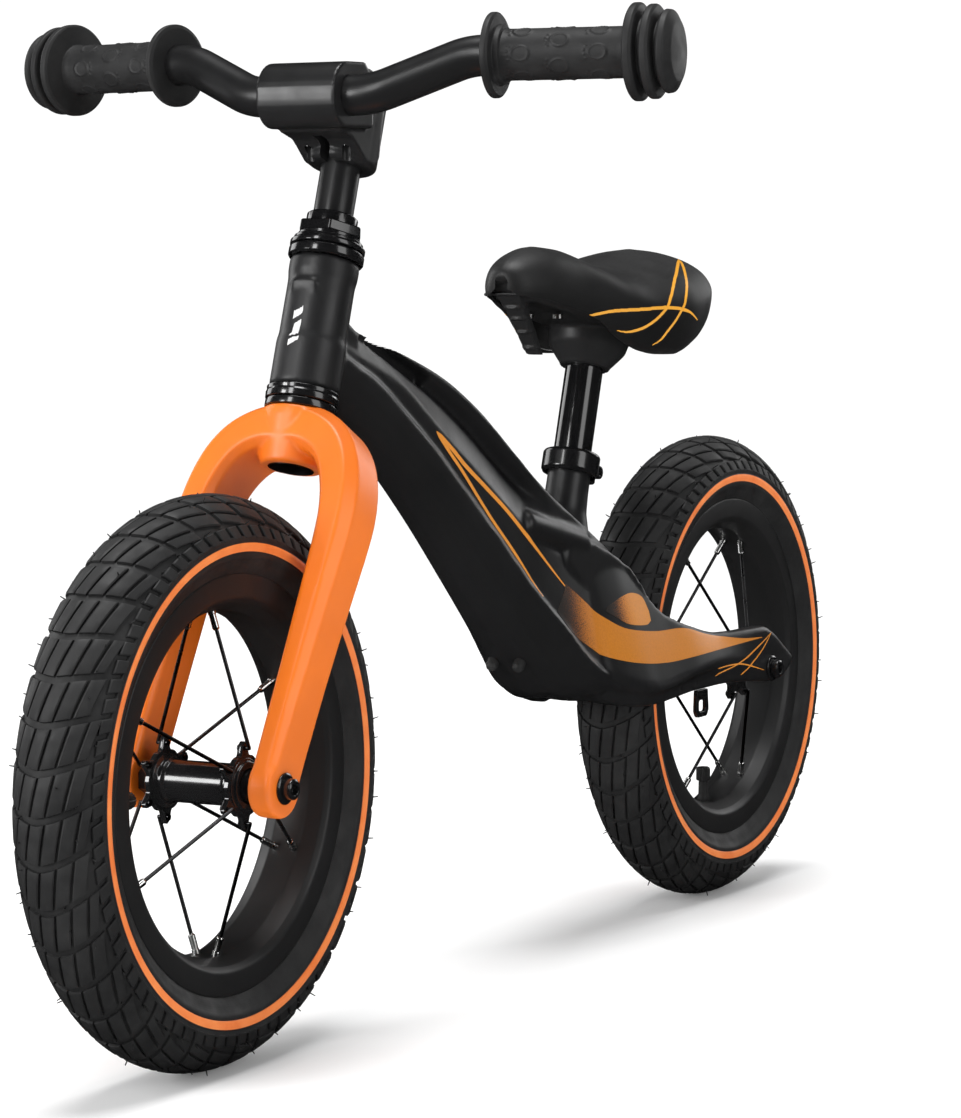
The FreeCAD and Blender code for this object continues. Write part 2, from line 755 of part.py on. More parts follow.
def spoke_ends(angle, side):
    """Hub and rim ends of one spoke in the axle's frame. Both spokes of a pair share one angle."""
    out = VECTOR(math.cos(angle), math.sin(angle), 0)
    flange = number("hub_flange_offset + hub_flange_thickness / 2 + spoke_radius + spoke_stand_off")
    hub = out * number("hub_ear_circle") + Z_AXIS * (side * flange)
    rim = out * number("rim_well_radius + 2") + Z_AXIS * (side * number("nipple_offset"))
    return hub, rim


def make_wheel(prefix, valve_angle):
    axle = FRAMES[prefix + "_axle"]
    angles = pair_angles(valve_angle)
    ends = [(*spoke_ends(angle, side), side) for angle in angles for side in (-1, 1)]
    tyre = turned(prefix + "_tyre", prefix + "_axle", [
        ("bead_radius", "-bead_half_width"),
        ("bead_radius + 9.5", "-bead_half_width", "40"),
        ("sidewall_radius - 7", "-sidewall_half_width"),
        ("sidewall_radius + 3", "-sidewall_half_width"),
        ("tread_shoulder_radius", "-tread_shoulder_half_width", "tread_crown_radius"),
        ("tread_shoulder_radius", "tread_shoulder_half_width"),
        ("sidewall_radius + 3", "sidewall_half_width"),
        ("sidewall_radius - 7", "sidewall_half_width", "40"),
        ("bead_radius + 9.5", "bead_half_width"),
        ("bead_radius", "bead_half_width"),
        ("bead_radius", "bead_half_width - 4.5"),
        ("bead_radius + 7", "bead_half_width - 4.5"),
        ("sidewall_radius - 6", "sidewall_half_width - tyre_wall"),
        ("tread_shoulder_radius", "tread_shoulder_half_width - tyre_wall"),
        ("tyre_radius - tyre_wall - 5", "tyre_half_width / 2 + 3"),
        ("tyre_radius - tyre_wall", "tyre_half_width / 4"),
        ("tyre_radius - tyre_wall", "-tyre_half_width / 4"),
        ("tyre_radius - tyre_wall - 5", "-tyre_half_width / 2 - 3"),
        ("tread_shoulder_radius", "-(tread_shoulder_half_width - tyre_wall)"),
        ("sidewall_radius - 6", "-(sidewall_half_width - tyre_wall)"),
        ("bead_radius + 7", "-(bead_half_width - 4.5)"),
        ("bead_radius", "-(bead_half_width - 4.5)"),
    ])
    keep(tyre, prefix + "_tyre")

    body = new_body(prefix + "_rim", prefix + "_axle")
    revolve(body, [
        ("rim_flange_radius", "-rim_half_width"),
        ("rim_shoulder_radius", "-rim_half_width"),
        ("rim_shoulder_radius - 2.5", "-rim_half_width + 3"),
        ("rim_well_radius", "-rim_well_half_width"),
        ("rim_well_radius", "rim_well_half_width"),
        ("rim_shoulder_radius - 2.5", "rim_half_width - 3"),
        ("rim_shoulder_radius", "rim_half_width"),
        ("rim_flange_radius", "rim_half_width"),
        ("rim_flange_radius", "rim_half_width - rim_wall"),
        ("rim_shoulder_radius + 3", "rim_half_width - rim_wall"),
        ("rim_shoulder_radius + 1", "rim_half_width - rim_wall - 4"),
        ("rim_well_radius + 4", "rim_well_half_width + 1"),
        ("rim_well_radius + 4", "-rim_well_half_width - 1"),
        ("rim_shoulder_radius + 1", "-rim_half_width + rim_wall + 4"),
        ("rim_shoulder_radius + 3", "-rim_half_width + rim_wall"),
        ("rim_flange_radius", "-rim_half_width + rim_wall"),
    ])
    hole_half = 6
    for hub, rim, _ in ends:
        way = (rim - hub).normalize()
        rod_feature(body, "SubtractiveCylinder", "nipple_radius + 0.2", 2 * hole_half,
                    rim - way * hole_half, FreeCAD.Rotation(Z_AXIS, way))
    turn = math.radians(valve_angle)
    out = VECTOR(math.cos(turn), math.sin(turn), 0)
    rod_feature(body, "SubtractiveCylinder", "valve_radius + 0.3", 20,
                out * number("rim_well_radius - 8"), FreeCAD.Rotation(Z_AXIS, out))
    keep(body, prefix + "_rim")

    outer_ring = doc.addObject("Part::Torus", "tube_outside")
    bind(outer_ring, Radius1="tube_ring_radius", Radius2="tube_section_radius")
    inner_ring = doc.addObject("Part::Torus", "tube_inside")
    bind(inner_ring, Radius1="tube_ring_radius", Radius2="tube_section_radius - tube_wall")
    for torus in (outer_ring, inner_ring):
        torus.Placement = axle
    keep(cut(outer_ring, inner_ring), prefix + "_inner_tube")

    base = number("tube_ring_radius - tube_section_radius")
    stem_root = axle.multVec(out * base)
    stem_tip = axle.multVec(out * (base - number("valve_length")))
    inward = direction_placement(stem_root, stem_tip)
    keep(cylinder("valve_radius", "valve_length", inward), prefix + "_valve_stem")
    cap_start = inward.multVec(VECTOR(0, 0, number("valve_length") + 0.1))
    cap_end = inward.multVec(VECTOR(0, 0, number("valve_length + valve_cap_length")))
    cap = cylinder("valve_cap_radius", "valve_cap_length", direction_placement(cap_start, cap_end))
    keep(cap, prefix + "_valve_cap")

    make_hub(prefix, axle, angles)

    spokes = []
    nipples = []
    for hub_spot, rim_spot, side in ends:
        hub = axle.multVec(hub_spot)
        rim = axle.multVec(rim_spot)
        reach = (rim - hub).Length
        wire = cylinder("spoke_radius", reach - 2, direction_placement(hub, rim))
        bend = ball("spoke_radius", hub)
        inward_x = VECTOR(-side, 0, 0)
        elbow_length = "hub_flange_thickness + spoke_radius + spoke_stand_off + 0.1"
        elbow = cylinder("spoke_radius", elbow_length, direction_placement(hub, hub + inward_x))
        head_spot = hub + inward_x * number(elbow_length)
        head = cylinder("spoke_radius * 1.7", 0.9, direction_placement(head_spot, head_spot + inward_x))
        spokes.append(joined([wire, bend, elbow, head]))
        way = (rim - hub).normalize()
        root = rim + way * 3.5
        sleeve = cylinder("nipple_radius", "nipple_length", direction_placement(root, root - way))
        core = cylinder("spoke_radius", "nipple_length + 4", direction_placement(root + way, root - way))
        nipples.append(cut(sleeve, core))
    keep(group(spokes), prefix + "_spokes")
    keep(group(nipples), prefix + "_nipples")


def make_hub(prefix, axle, angles):
    """Barrel with two star flanges, an ear for each spoke, and its loose bearing balls."""
    body = new_body(prefix + "_hub_shell", prefix + "_axle")
    flange_in = "hub_flange_offset - hub_flange_thickness / 2"
    flange_out = "hub_flange_offset + hub_flange_thickness / 2"
    cup_floor = "hub_half_length - 8"
    upper_half = [
        ("hub_barrel_radius", flange_in), ("hub_flange_radius", flange_in),
        ("hub_flange_radius", flange_out), ("hub_barrel_radius + 1", flange_out),
        ("hub_barrel_radius + 1", "hub_half_length"), ("hub_cup_radius", "hub_half_length"),
        ("hub_cup_radius", cup_floor), ("hub_bore_radius", cup_floor),
    ]
    lower_half = [(radius, "-(%s)" % height) for radius, height in reversed(upper_half)]
    revolve(body, upper_half + lower_half)
    circle = number("hub_ear_circle")
    for side in (-1, 1):
        low = side * number("hub_flange_offset") - number("hub_flange_thickness") / 2
        for angle in angles:
            spot = VECTOR(circle * math.cos(angle), circle * math.sin(angle), low)
            rod_feature(body, "AdditiveCylinder", "hub_ear_radius", "hub_flange_thickness", spot)
            rod_feature(body, "SubtractiveCylinder", "spoke_radius + 0.25", "hub_flange_thickness + 2",
                        spot - Z_AXIS)
    keep(body, prefix + "_hub_shell")

    balls = []
    for side in (-1, 1):
        height = side * (number("hub_half_length") - 5.6)
        balls += ball_ring(9, number("hub_ball_circle"), height, "hub_ball_radius", axle)
    keep(group(balls), prefix + "_hub_balls")


def make_axle_set(prefix):
    """Axle, cones, locknuts, washers and bolts that hold one wheel in its dropouts."""
    frame = prefix + "_axle"
    reach = number("dropout_outer") - 1
    rod = turned(prefix + "_axle", frame, [
        (0, -reach + 22), ("axle_bolt_radius + 0.05", -reach + 22), ("axle_bolt_radius + 0.05", -reach),
        ("axle_radius", -reach), ("axle_radius", reach), ("axle_bolt_radius + 0.05", reach),
        ("axle_bolt_radius + 0.05", reach - 22), (0, reach - 22),
    ])
    keep(rod, prefix + "_axle")

    cone = turned(prefix + "_cone", frame, [
        ("axle_radius + 0.02", "hub_half_length - 7.6"), ("axle_radius + 0.3", "hub_half_length - 7.6"),
        ("axle_radius + 0.3", "hub_half_length - 3.4"), ("hub_cup_radius - 1", "hub_half_length - 2.6"),
        ("hub_cup_radius - 1", "hub_half_length + 2"), ("axle_radius + 0.02", "hub_half_length + 2"),
    ])
    keep(mirrored_pair(cone), prefix + "_cones")

    nut = new_body(prefix + "_locknut", frame)
    flats = nut.newObject("PartDesign::Pad", "flats")
    seat = FreeCAD.Placement(VECTOR(0, 0, number("hub_half_length") + 2.1), FreeCAD.Rotation())
    flats.Profile = outline(nut, "XY_Plane", hexagon(15), seat)
    bind(flats, Length="dropout_inner - hub_half_length - 2.2")
    rod_feature(nut, "SubtractiveCylinder", "axle_radius + 0.02", 20,
                VECTOR(0, 0, number("hub_half_length") - 2))
    keep(mirrored_pair(nut), prefix + "_locknuts")

    washer = turned(prefix + "_washer", frame, [
        ("axle_bolt_radius + 0.3", "dropout_outer"), ("axle_washer_radius", "dropout_outer"),
        ("axle_washer_radius", "dropout_outer + axle_washer_thickness"),
        ("axle_bolt_radius + 0.3", "dropout_outer + axle_washer_thickness"),
    ])
    keep(mirrored_pair(washer), prefix + "_axle_washers")

    bolt = new_body(prefix + "_bolt", frame)
    face = "dropout_outer + axle_washer_thickness"
    revolve(bolt, [
        (0, "dropout_outer - 20"), ("axle_bolt_radius", "dropout_outer - 20"),
        ("axle_bolt_radius", face), ("axle_bolt_head_radius", face),
        ("axle_bolt_head_radius", face + " + axle_bolt_head_height - 1"),
        ("axle_bolt_head_radius - 1", face + " + axle_bolt_head_height"),
        (0, face + " + axle_bolt_head_height"),
    ])
    socket = bolt.newObject("PartDesign::Pocket", "socket")
    top = FreeCAD.Placement(VECTOR(0, 0, number(face + " + axle_bolt_head_height")), FreeCAD.Rotation())
    socket.Profile = outline(bolt, "XY_Plane", hexagon(6), top)
    socket.Length = 3.2
    keep(mirrored_pair(bolt), prefix + "_axle_bolts")


# ---------------------------------------------------------------- seat

# Stations of the saddle cover from nose to tail: place along the bike, half width, height of
# the lowest edge at the side, height of the top on the mid-plane, height of the underside.
SADDLE = [
    (37, 13, 403, 419, 405),
    (52, 24, 399, 428, 402),
    (80, 31, 392, 428, 398),
    (106, 47, 371, 421, 392),
    (134, 62, 364, 418, 390),
    (165, 66, 372, 421, 392),
    (195, 60, 387, 425, 397),
    (220, 44, 397, 422, 401),
    (236, 22, 403, 415, 404),
]


def make_saddle():
    body = new_body("saddle_cover")
    sections = []
    for y, half, edge, top, under in SADDLE:
        sections.append(([
            (-half, edge), (-half * 0.8, edge + 1), (-half * 0.55, under), (half * 0.55, under),
            (half * 0.8, edge + 1), (half, edge), (half * 0.97, edge + (top - edge) * 0.55),
            (half * 0.62, top - 3), (0, top), (-half * 0.62, top - 3),
            (-half * 0.97, edge + (top - edge) * 0.55),
        ], across(y)))
    loft(body, "AdditiveLoft", "XZ_Plane", sections)
    keep(body, "saddle_cover")

    base = new_body("saddle_base")
    base_depth = 9
    screw_head = 2.4
    shell = []
    for y, half, edge, top, under in SADDLE[1:-1]:
        wide = half * 0.5
        low = under - base_depth
        shell.append(([(-wide, low), (wide, low), (wide, under - 1.2), (-wide, under - 1.2)], across(y)))
    loft(base, "AdditiveLoft", "XZ_Plane", shell)
    seat = FRAMES["seat"]
    cone = base.newObject("PartDesign::AdditiveCone", "clamp_cone")
    cone.AttachmentSupport = [(origin_plane(base, "XY_Plane"), "")]
    cone.MapMode = "FlatFace"
    cone.AttachmentOffset = FreeCAD.Placement(seat.multVec(VECTOR(0, 0, 60)), seat.Rotation)
    cone.Radius1 = 16
    cone.Radius2 = 26
    cone.Height = 28
    beak = [(48, 395), (49, 384), (56, 368), (64, 364), (71, 366), (71, 395)]
    pad(base, "YZ_Plane", beak, 26, "front_beak")
    rod_feature(base, "SubtractiveCylinder", "post_radius + 0.05", "post_top - 60 + 0.5",
                seat.multVec(VECTOR(0, 0, 59.9)), seat.Rotation)
    keep(base, "saddle_base")

    post = turned("seat_post", "seat", [
        ("post_radius - post_wall", "post_bottom"), ("post_radius", "post_bottom"),
        ("post_radius", "post_top"), ("post_radius - post_wall", "post_top"),
    ])
    keep(post, "seat_post")

    screws = []
    for side in (-1, 1):
        for y, under in ((80, 398), (195, 397)):
            spot = VECTOR(side * 10, y, under - base_depth - screw_head - 0.1)
            screws.append(cylinder(3.2, screw_head, FreeCAD.Placement(spot, FreeCAD.Rotation())))
    keep(group(screws), "saddle_screws")


def make_collar():
    body = new_body("seat_collar", "seat")
    half = number("collar_height") / 2
    revolve(body, [
        ("seat_tube_neck_radius + 0.05", "-collar_height / 2"), ("collar_radius", "-collar_height / 2"),
        ("collar_radius", "collar_height / 2"), ("seat_tube_neck_radius + 0.05", "collar_height / 2"),
    ])
    ears = body.newObject("PartDesign::Pad", "ears")
    low = FreeCAD.Placement(VECTOR(0, 0, -half), FreeCAD.Rotation())
    inner = number("seat_tube_neck_radius") + 0.6
    ears.Profile = outline(body, "XY_Plane", [(-7, inner), (7, inner), (7, 25), (-7, 25)], low)
    bind(ears, Length="collar_height")
    gap = body.newObject("PartDesign::Pocket", "gap")
    gap.Profile = outline(body, "XY_Plane", [(-1.2, 10), (1.2, 10), (1.2, 30), (-1.2, 30)])
    gap.SideType = "Symmetric"
    gap.Length = 40
    rod_feature(body, "SubtractiveCylinder", 2.6, 30, VECTOR(-15, 20.4, 0), FreeCAD.Rotation(Y_AXIS, 90))
    keep(body, "seat_collar")

    shank = cylinder(2.5, 19, FRAMES["seat"].multiply(turned_about(Y_AXIS, 90, VECTOR(-8.4, 20.4, 0))))
    head = cylinder(4.2, 3.6, FRAMES["seat"].multiply(turned_about(Y_AXIS, 90, VECTOR(7.1, 20.4, 0))))
    keep(joined([shank, head]), "seat_collar_bolt")


# ---------------------------------------------------------------- small fittings

def make_fittings():
    tab = new_body("stay_tab")
    plate = tab.newObject("PartDesign::Pad", "plate")
    lift = FreeCAD.Placement(VECTOR(0, 0, 41.2), FreeCAD.Rotation())
    plate.Profile = outline(tab, "YZ_Plane", [
        (203, 146), (202, 134), (204.5, 130), (217.5, 130), (220, 134), (219, 146),
    ], lift)
    plate.Length = 2.6
    hole = tab.newObject("PartDesign::Pocket", "slot")
    hole.Profile = outline(tab, "YZ_Plane", [(206, 141), (206, 133.5), (216, 133.5), (216, 141)])
    hole.Length = 60
    hole.Reversed = True
    keep(tab, "stay_tab")

    buffer_radius = 3.6
    buffer_length = 5.5
    buffer_place = (9, 30, 181.4)
    buffer_slope = 41
    buffers = []
    for side in (-1, 1):
        spot = VECTOR(side * buffer_place[0], buffer_place[1], buffer_place[2])
        downward = FreeCAD.Rotation(X_AXIS, 180 - buffer_slope)
        buffers.append(cylinder(buffer_radius, buffer_length, FreeCAD.Placement(spot, downward)))
    keep(group(buffers), "underframe_buffers")


make_frame_casting()
make_stays()
make_headset()
make_fork()
make_stem()
make_handlebar()
for which, valve_angle in (("front", -90), ("rear", 0)):
    make_wheel(which, valve_angle)
    make_axle_set(which)
make_saddle()
make_collar()
make_fittings()

# ---------------------------------------------------------------- checks and export

doc.recompute()
failed = [thing for thing in doc.Objects if {"Invalid", "Error"} & set(thing.State)]
for thing in failed:
    owners = ", ".join(user.Label for user in thing.InList)
    print("failed: %s %s, used by %s" % (thing.Label, thing.State, owners))
if failed:
    raise SystemExit("the document has failed objects")
for node, thing in nodes.items():
    shape = thing.Shape
    if shape.isNull() or not shape.isValid():
        raise SystemExit("%s has no valid shape" % node)
    shape.exportStep("parts/%s.step" % node)
    print("%-24s %2d solids %10.0f mm3" % (node, len(shape.Solids), shape.Volume))
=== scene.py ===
import json
import math

import bmesh
import bpy
import numpy as np
from mathutils import Matrix, Quaternion, Vector
from mathutils.bvhtree import BVHTree


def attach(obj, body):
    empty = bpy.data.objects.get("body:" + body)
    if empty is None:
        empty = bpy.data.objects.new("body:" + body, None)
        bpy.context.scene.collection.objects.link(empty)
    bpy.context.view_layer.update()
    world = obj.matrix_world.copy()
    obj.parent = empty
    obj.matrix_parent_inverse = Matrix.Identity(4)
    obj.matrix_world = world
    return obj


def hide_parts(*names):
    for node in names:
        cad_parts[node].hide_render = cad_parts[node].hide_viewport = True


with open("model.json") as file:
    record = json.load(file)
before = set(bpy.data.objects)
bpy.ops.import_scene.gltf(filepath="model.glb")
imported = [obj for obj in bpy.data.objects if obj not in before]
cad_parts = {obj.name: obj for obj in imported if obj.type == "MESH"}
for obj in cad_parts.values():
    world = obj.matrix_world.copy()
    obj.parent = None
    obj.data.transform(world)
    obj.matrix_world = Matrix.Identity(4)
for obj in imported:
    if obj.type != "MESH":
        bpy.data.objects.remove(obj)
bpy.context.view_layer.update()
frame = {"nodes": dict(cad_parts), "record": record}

MM = 0.001
SCENE = bpy.context.scene

# Places taken over from the part's source, in millimetres.
FRONT_AXLE = np.array([0.0, -303.0, 152.0])
REAR_AXLE = np.array([0.0, 303.0, 152.0])
HEAD = np.array([0.0, -184.0, 395.0])
HEAD_LEAN = math.radians(19)
SEAT = np.array([0.0, 115.0, 296.0])
SEAT_LEAN = math.radians(18)
BAR = np.array([0.0, -186.0, 513.0])
BAR_RISE = (18.5, 20.0)
BAR_SWEEP = math.tan(math.radians(10))
BAR_RISE_END = 88
BAR_END = 200
GRIP_START = 100
FORK_LEAN = math.radians(28.8)


# ---------------------------------------------------------------- frames of reference

def tilt_back(origin, angle):
    """Frame whose Z leans back from the vertical by angle, about X."""
    matrix = Matrix.Rotation(-angle, 4, "X")
    matrix.translation = Vector(origin)
    return matrix


def along_x(origin):
    """Frame whose Z points to the rider's left."""
    matrix = Matrix.Rotation(math.pi / 2, 4, "Y")
    matrix.translation = Vector(origin)
    return matrix


def aimed(origin, direction):
    matrix = Vector(direction).to_track_quat("Z", "Y").to_matrix().to_4x4()
    matrix.translation = Vector(origin)
    return matrix


HEAD_FRAME = tilt_back(HEAD, HEAD_LEAN)
SEAT_FRAME = tilt_back(SEAT, SEAT_LEAN)
FORK_FRAME = tilt_back(FRONT_AXLE, FORK_LEAN)


# ---------------------------------------------------------------- camera

def make_camera():
    """A long lens from ahead and to the rider's left, a little above."""
    data = bpy.data.cameras.new("camera")
    camera = bpy.data.objects.new("camera", data)
    SCENE.collection.objects.link(camera)
    focal_px, long_side_px = 3800, 1118
    data.sensor_width = 36
    data.lens = focal_px / long_side_px * data.sensor_width
    yaw, pitch, roll, distance = math.radians(28.93), math.radians(4.89), math.radians(-0.43), 2249
    target = np.array([0.0, -1.0, 246.1])
    look = np.array([-math.sin(yaw) * math.cos(pitch), math.cos(yaw) * math.cos(pitch), -math.sin(pitch)])
    right = np.array([math.cos(yaw), math.sin(yaw), 0.0])
    up = np.cross(right, look)
    right, up = right * math.cos(roll) + up * math.sin(roll), up * math.cos(roll) - right * math.sin(roll)
    matrix = Matrix(np.column_stack([right, up, -look]).tolist()).to_4x4()
    matrix.translation = Vector((target - look * distance) * MM)
    camera.matrix_world = matrix
    data.clip_start, data.clip_end = 0.1, 50
    SCENE.camera = camera


make_camera()


# ---------------------------------------------------------------- materials

class Nodes:
    """Short way to build one material's node tree."""

    def __init__(self, name):
        self.material = bpy.data.materials.new(name)
        self.material.use_nodes = True
        self.tree = self.material.node_tree
        self.shader = self.tree.nodes["Principled BSDF"]
        self.coords = self.add("ShaderNodeTexCoord").outputs["Object"]

    def add(self, kind, **settings):
        node = self.tree.nodes.new(kind)
        for key, value in settings.items():
            setattr(node, key, value)
        return node

    def link(self, source, target):
        self.tree.links.new(source, target)

    def value(self, target, thing):
        """Put a number, a colour or another node's output on a socket."""
        if isinstance(thing, bpy.types.NodeSocket):
            self.link(thing, target)
        else:
            target.default_value = thing

    def math(self, operation, a, b=0.0, c=0.0, clamp=False):
        node = self.add("ShaderNodeMath", operation=operation, use_clamp=clamp)
        for socket, thing in zip(node.inputs, (a, b, c)):
            self.value(socket, thing)
        return node.outputs[0]

    def noise(self, scale, detail=3.0, roughness=0.55, coords=None):
        node = self.add("ShaderNodeTexNoise")
        self.link(coords or self.coords, node.inputs["Vector"])
        node.inputs["Scale"].default_value = scale
        node.inputs["Detail"].default_value = detail
        node.inputs["Roughness"].default_value = roughness
        return node.outputs["Fac"]

    def cells(self, scale, feature="F1", coords=None):
        node = self.add("ShaderNodeTexVoronoi", feature=feature)
        self.link(coords or self.coords, node.inputs["Vector"])
        node.inputs["Scale"].default_value = scale
        return node.outputs["Distance"]

    def remap(self, source, low, high, to_low=0.0, to_high=1.0, smooth=False):
        node = self.add("ShaderNodeMapRange", interpolation_type="SMOOTHSTEP" if smooth else "LINEAR")
        self.link(source, node.inputs["Value"])
        for key, number in (("From Min", low), ("From Max", high), ("To Min", to_low), ("To Max", to_high)):
            node.inputs[key].default_value = number
        return node.outputs["Result"]

    def mix(self, factor, a, b):
        node = self.add("ShaderNodeMix", data_type="RGBA")
        self.value(node.inputs["Factor"], factor)
        self.value(node.inputs["A"], a)
        self.value(node.inputs["B"], b)
        return node.outputs["Result"]

    def split(self, source=None):
        node = self.add("ShaderNodeSeparateXYZ")
        self.link(source or self.coords, node.inputs[0])
        return node.outputs

    def stretched(self, scale):
        node = self.add("ShaderNodeMapping")
        self.link(self.coords, node.inputs["Vector"])
        node.inputs["Scale"].default_value = scale
        return node.outputs[0]

    def edge_mask(self, radius, low=0.03, high=0.3):
        """1 on worn convex or concave edges, 0 on flat areas."""
        bevel = self.add("ShaderNodeBevel", samples=4)
        bevel.inputs["Radius"].default_value = radius
        geometry = self.add("ShaderNodeNewGeometry")
        dot = self.add("ShaderNodeVectorMath", operation="DOT_PRODUCT")
        self.link(bevel.outputs[0], dot.inputs[0])
        self.link(geometry.outputs["Normal"], dot.inputs[1])
        turn = self.math("SUBTRACT", 1.0, dot.outputs["Value"])
        return self.remap(turn, low, high)

    def bump(self, *layers):
        """Chain of (height, strength, distance) layers into the shader's normal."""
        normal = None
        for height, strength, distance in layers:
            node = self.add("ShaderNodeBump")
            node.inputs["Strength"].default_value = strength
            node.inputs["Distance"].default_value = distance
            self.link(height, node.inputs["Height"])
            if normal is not None:
                self.link(normal, node.inputs["Normal"])
            normal = node.outputs[0]
        self.link(normal, self.shader.inputs["Normal"])

    def set(self, **sockets):
        for key, thing in sockets.items():
            self.value(self.shader.inputs[key.replace("_", " ")], thing)


def rgb(r, g, b):
    return (r, g, b, 1.0)


def shade(colour, factor):
    return rgb(*(min(1.0, channel * factor) for channel in colour[:3]))


def painted(name, colour, roughness, grain=900, grain_depth=0.00004, coat=0.0, coat_roughness=0.1,
            wear=0.35, spread=0.07):
    """Paint over metal: fine texture, soft colour drift, smudged gloss and lighter edges."""
    n = Nodes(name)
    drift = n.noise(9, 4)
    patch = n.mix(n.remap(drift, 0.35, 0.65), shade(colour, 0.88), shade(colour, 1.12))
    scuffs = n.math("MULTIPLY", n.edge_mask(0.0012), n.remap(n.noise(60, 5), 0.45, 0.62))
    n.set(Base_Color=n.mix(n.math("MULTIPLY", scuffs, wear), patch, shade(colour, 2.4)))
    smudge = n.remap(n.noise(26, 5, 0.65), 0.3, 0.7, roughness - spread, roughness + spread)
    n.set(Roughness=smudge, Metallic=0.0, Coat_Weight=coat, Coat_Roughness=coat_roughness)
    n.bump((n.noise(grain, 2), 0.35, grain_depth), (n.noise(grain * 0.22, 2), 0.12, grain_depth * 2))
    return n.material


def metal(name, colour, roughness, brushed=(1, 1, 1), wear=0.3):
    n = Nodes(name)
    streaks = n.noise(700, 3, 0.6, n.stretched(brushed))
    n.set(Base_Color=n.mix(n.remap(streaks, 0.3, 0.7), shade(colour, 0.8), shade(colour, 1.15)))
    n.set(Roughness=n.remap(n.noise(120, 5), 0.3, 0.7, roughness * 0.7, roughness * 1.4), Metallic=1.0)
    n.bump((streaks, 0.15, 0.00002), (n.noise(90, 4), wear * 0.3, 0.00004))
    return n.material


def rubber(name, colour, roughness=0.62, grain=1400, depth=0.00006, dust=0.16):
    n = Nodes(name)
    bloom = n.remap(n.noise(34, 6, 0.65), 0.42, 0.7)
    n.set(Base_Color=n.mix(n.math("MULTIPLY", bloom, dust), colour, rgb(0.12, 0.12, 0.118)))
    n.set(Roughness=n.remap(n.noise(70, 4), 0.3, 0.7, roughness - 0.08, roughness + 0.1))
    n.set(Specular_IOR_Level=0.42)
    n.bump((n.cells(grain), 0.25, depth), (n.noise(grain * 0.3, 3), 0.2, depth * 1.5))
    return n.material


def plastic(name, colour, roughness=0.45, grain=1100):
    n = Nodes(name)
    n.set(Base_Color=n.mix(n.remap(n.noise(18, 4), 0.3, 0.7), shade(colour, 0.85), shade(colour, 1.2)))
    n.set(Roughness=n.remap(n.noise(40, 5), 0.3, 0.7, roughness - 0.07, roughness + 0.08))
    n.bump((n.cells(grain), 0.22, 0.00005), (n.noise(300, 2), 0.1, 0.00006))
    return n.material


def tyre_material(name):
    """Tyre rubber with an orange sidewall stripe, bands of fine moulding lines and dusty blocks."""
    n = Nodes(name)
    x, y, _ = n.split()
    radius = n.math("SQRT", n.math("ADD", n.math("MULTIPLY", x, x), n.math("MULTIPLY", y, y)))
    low = n.remap(radius, 0.1222, 0.1225, smooth=True)
    high = n.remap(radius, 0.1268, 0.1271, 1.0, 0.0, smooth=True)
    stripe = n.math("MULTIPLY", low, high)
    bloom = n.remap(n.noise(40, 6, 0.65), 0.42, 0.7)
    black = n.mix(n.math("MULTIPLY", bloom, 0.16), rgb(0.016, 0.016, 0.0165), rgb(0.075, 0.075, 0.073))
    orange = n.mix(n.remap(n.noise(55, 5), 0.35, 0.7), rgb(0.86, 0.19, 0.03), rgb(0.95, 0.27, 0.06))
    n.set(Base_Color=n.mix(stripe, black, orange))
    n.set(Roughness=n.remap(n.noise(90, 4), 0.3, 0.7, 0.5, 0.7), Specular_IOR_Level=0.4)
    ring = n.math("SINE", n.math("MULTIPLY", radius, 5200.0))
    rings = n.math("MULTIPLY", ring, n.remap(radius, 0.1215, 0.118, smooth=True))
    n.bump((n.noise(1100, 3), 0.3, 0.00008), (rings, 0.08, 0.00006))
    return n.material


def saddle_material(name):
    """Soft-touch moulded skin with a fine pebbled grain."""
    n = Nodes(name)
    n.set(Base_Color=n.mix(n.remap(n.noise(14, 5), 0.35, 0.68), rgb(0.008, 0.008, 0.0083),
                           rgb(0.0135, 0.0135, 0.0138)))
    n.set(Roughness=n.remap(n.noise(30, 5), 0.3, 0.7, 0.42, 0.56), Sheen_Weight=0.04, Sheen_Roughness=0.4)
    n.set(Specular_IOR_Level=0.45)
    n.bump((n.cells(1500), 0.4, 0.00009), (n.cells(620), 0.18, 0.00008), (n.noise(60, 3), 0.1, 0.0004))
    return n.material


def print_material(name, plain, fade=None):
    """Printed film: an orange that runs into amber, fading into the paint in fine dots."""
    n = Nodes(name)
    ink = n.mix(n.remap(n.noise(800, 2), 0.3, 0.7), shade(plain, 0.93), shade(plain, 1.05))
    if fade:
        _, y, _ = n.split()
        start, end, deep = fade
        share = n.remap(y, start, end, smooth=True)
        dots = n.cells(2600)
        cover = n.remap(n.math("SUBTRACT", share, dots), -0.12, 0.12)
        amber = n.mix(share, deep, ink)
        ink = n.mix(cover, rgb(0.02, 0.017, 0.015), amber)
    n.set(Base_Color=ink, Roughness=n.remap(n.noise(50, 4), 0.3, 0.7, 0.34, 0.46))
    n.set(Coat_Weight=0.25, Coat_Roughness=0.2)
    n.bump((n.noise(900, 2), 0.15, 0.00003))
    return n.material


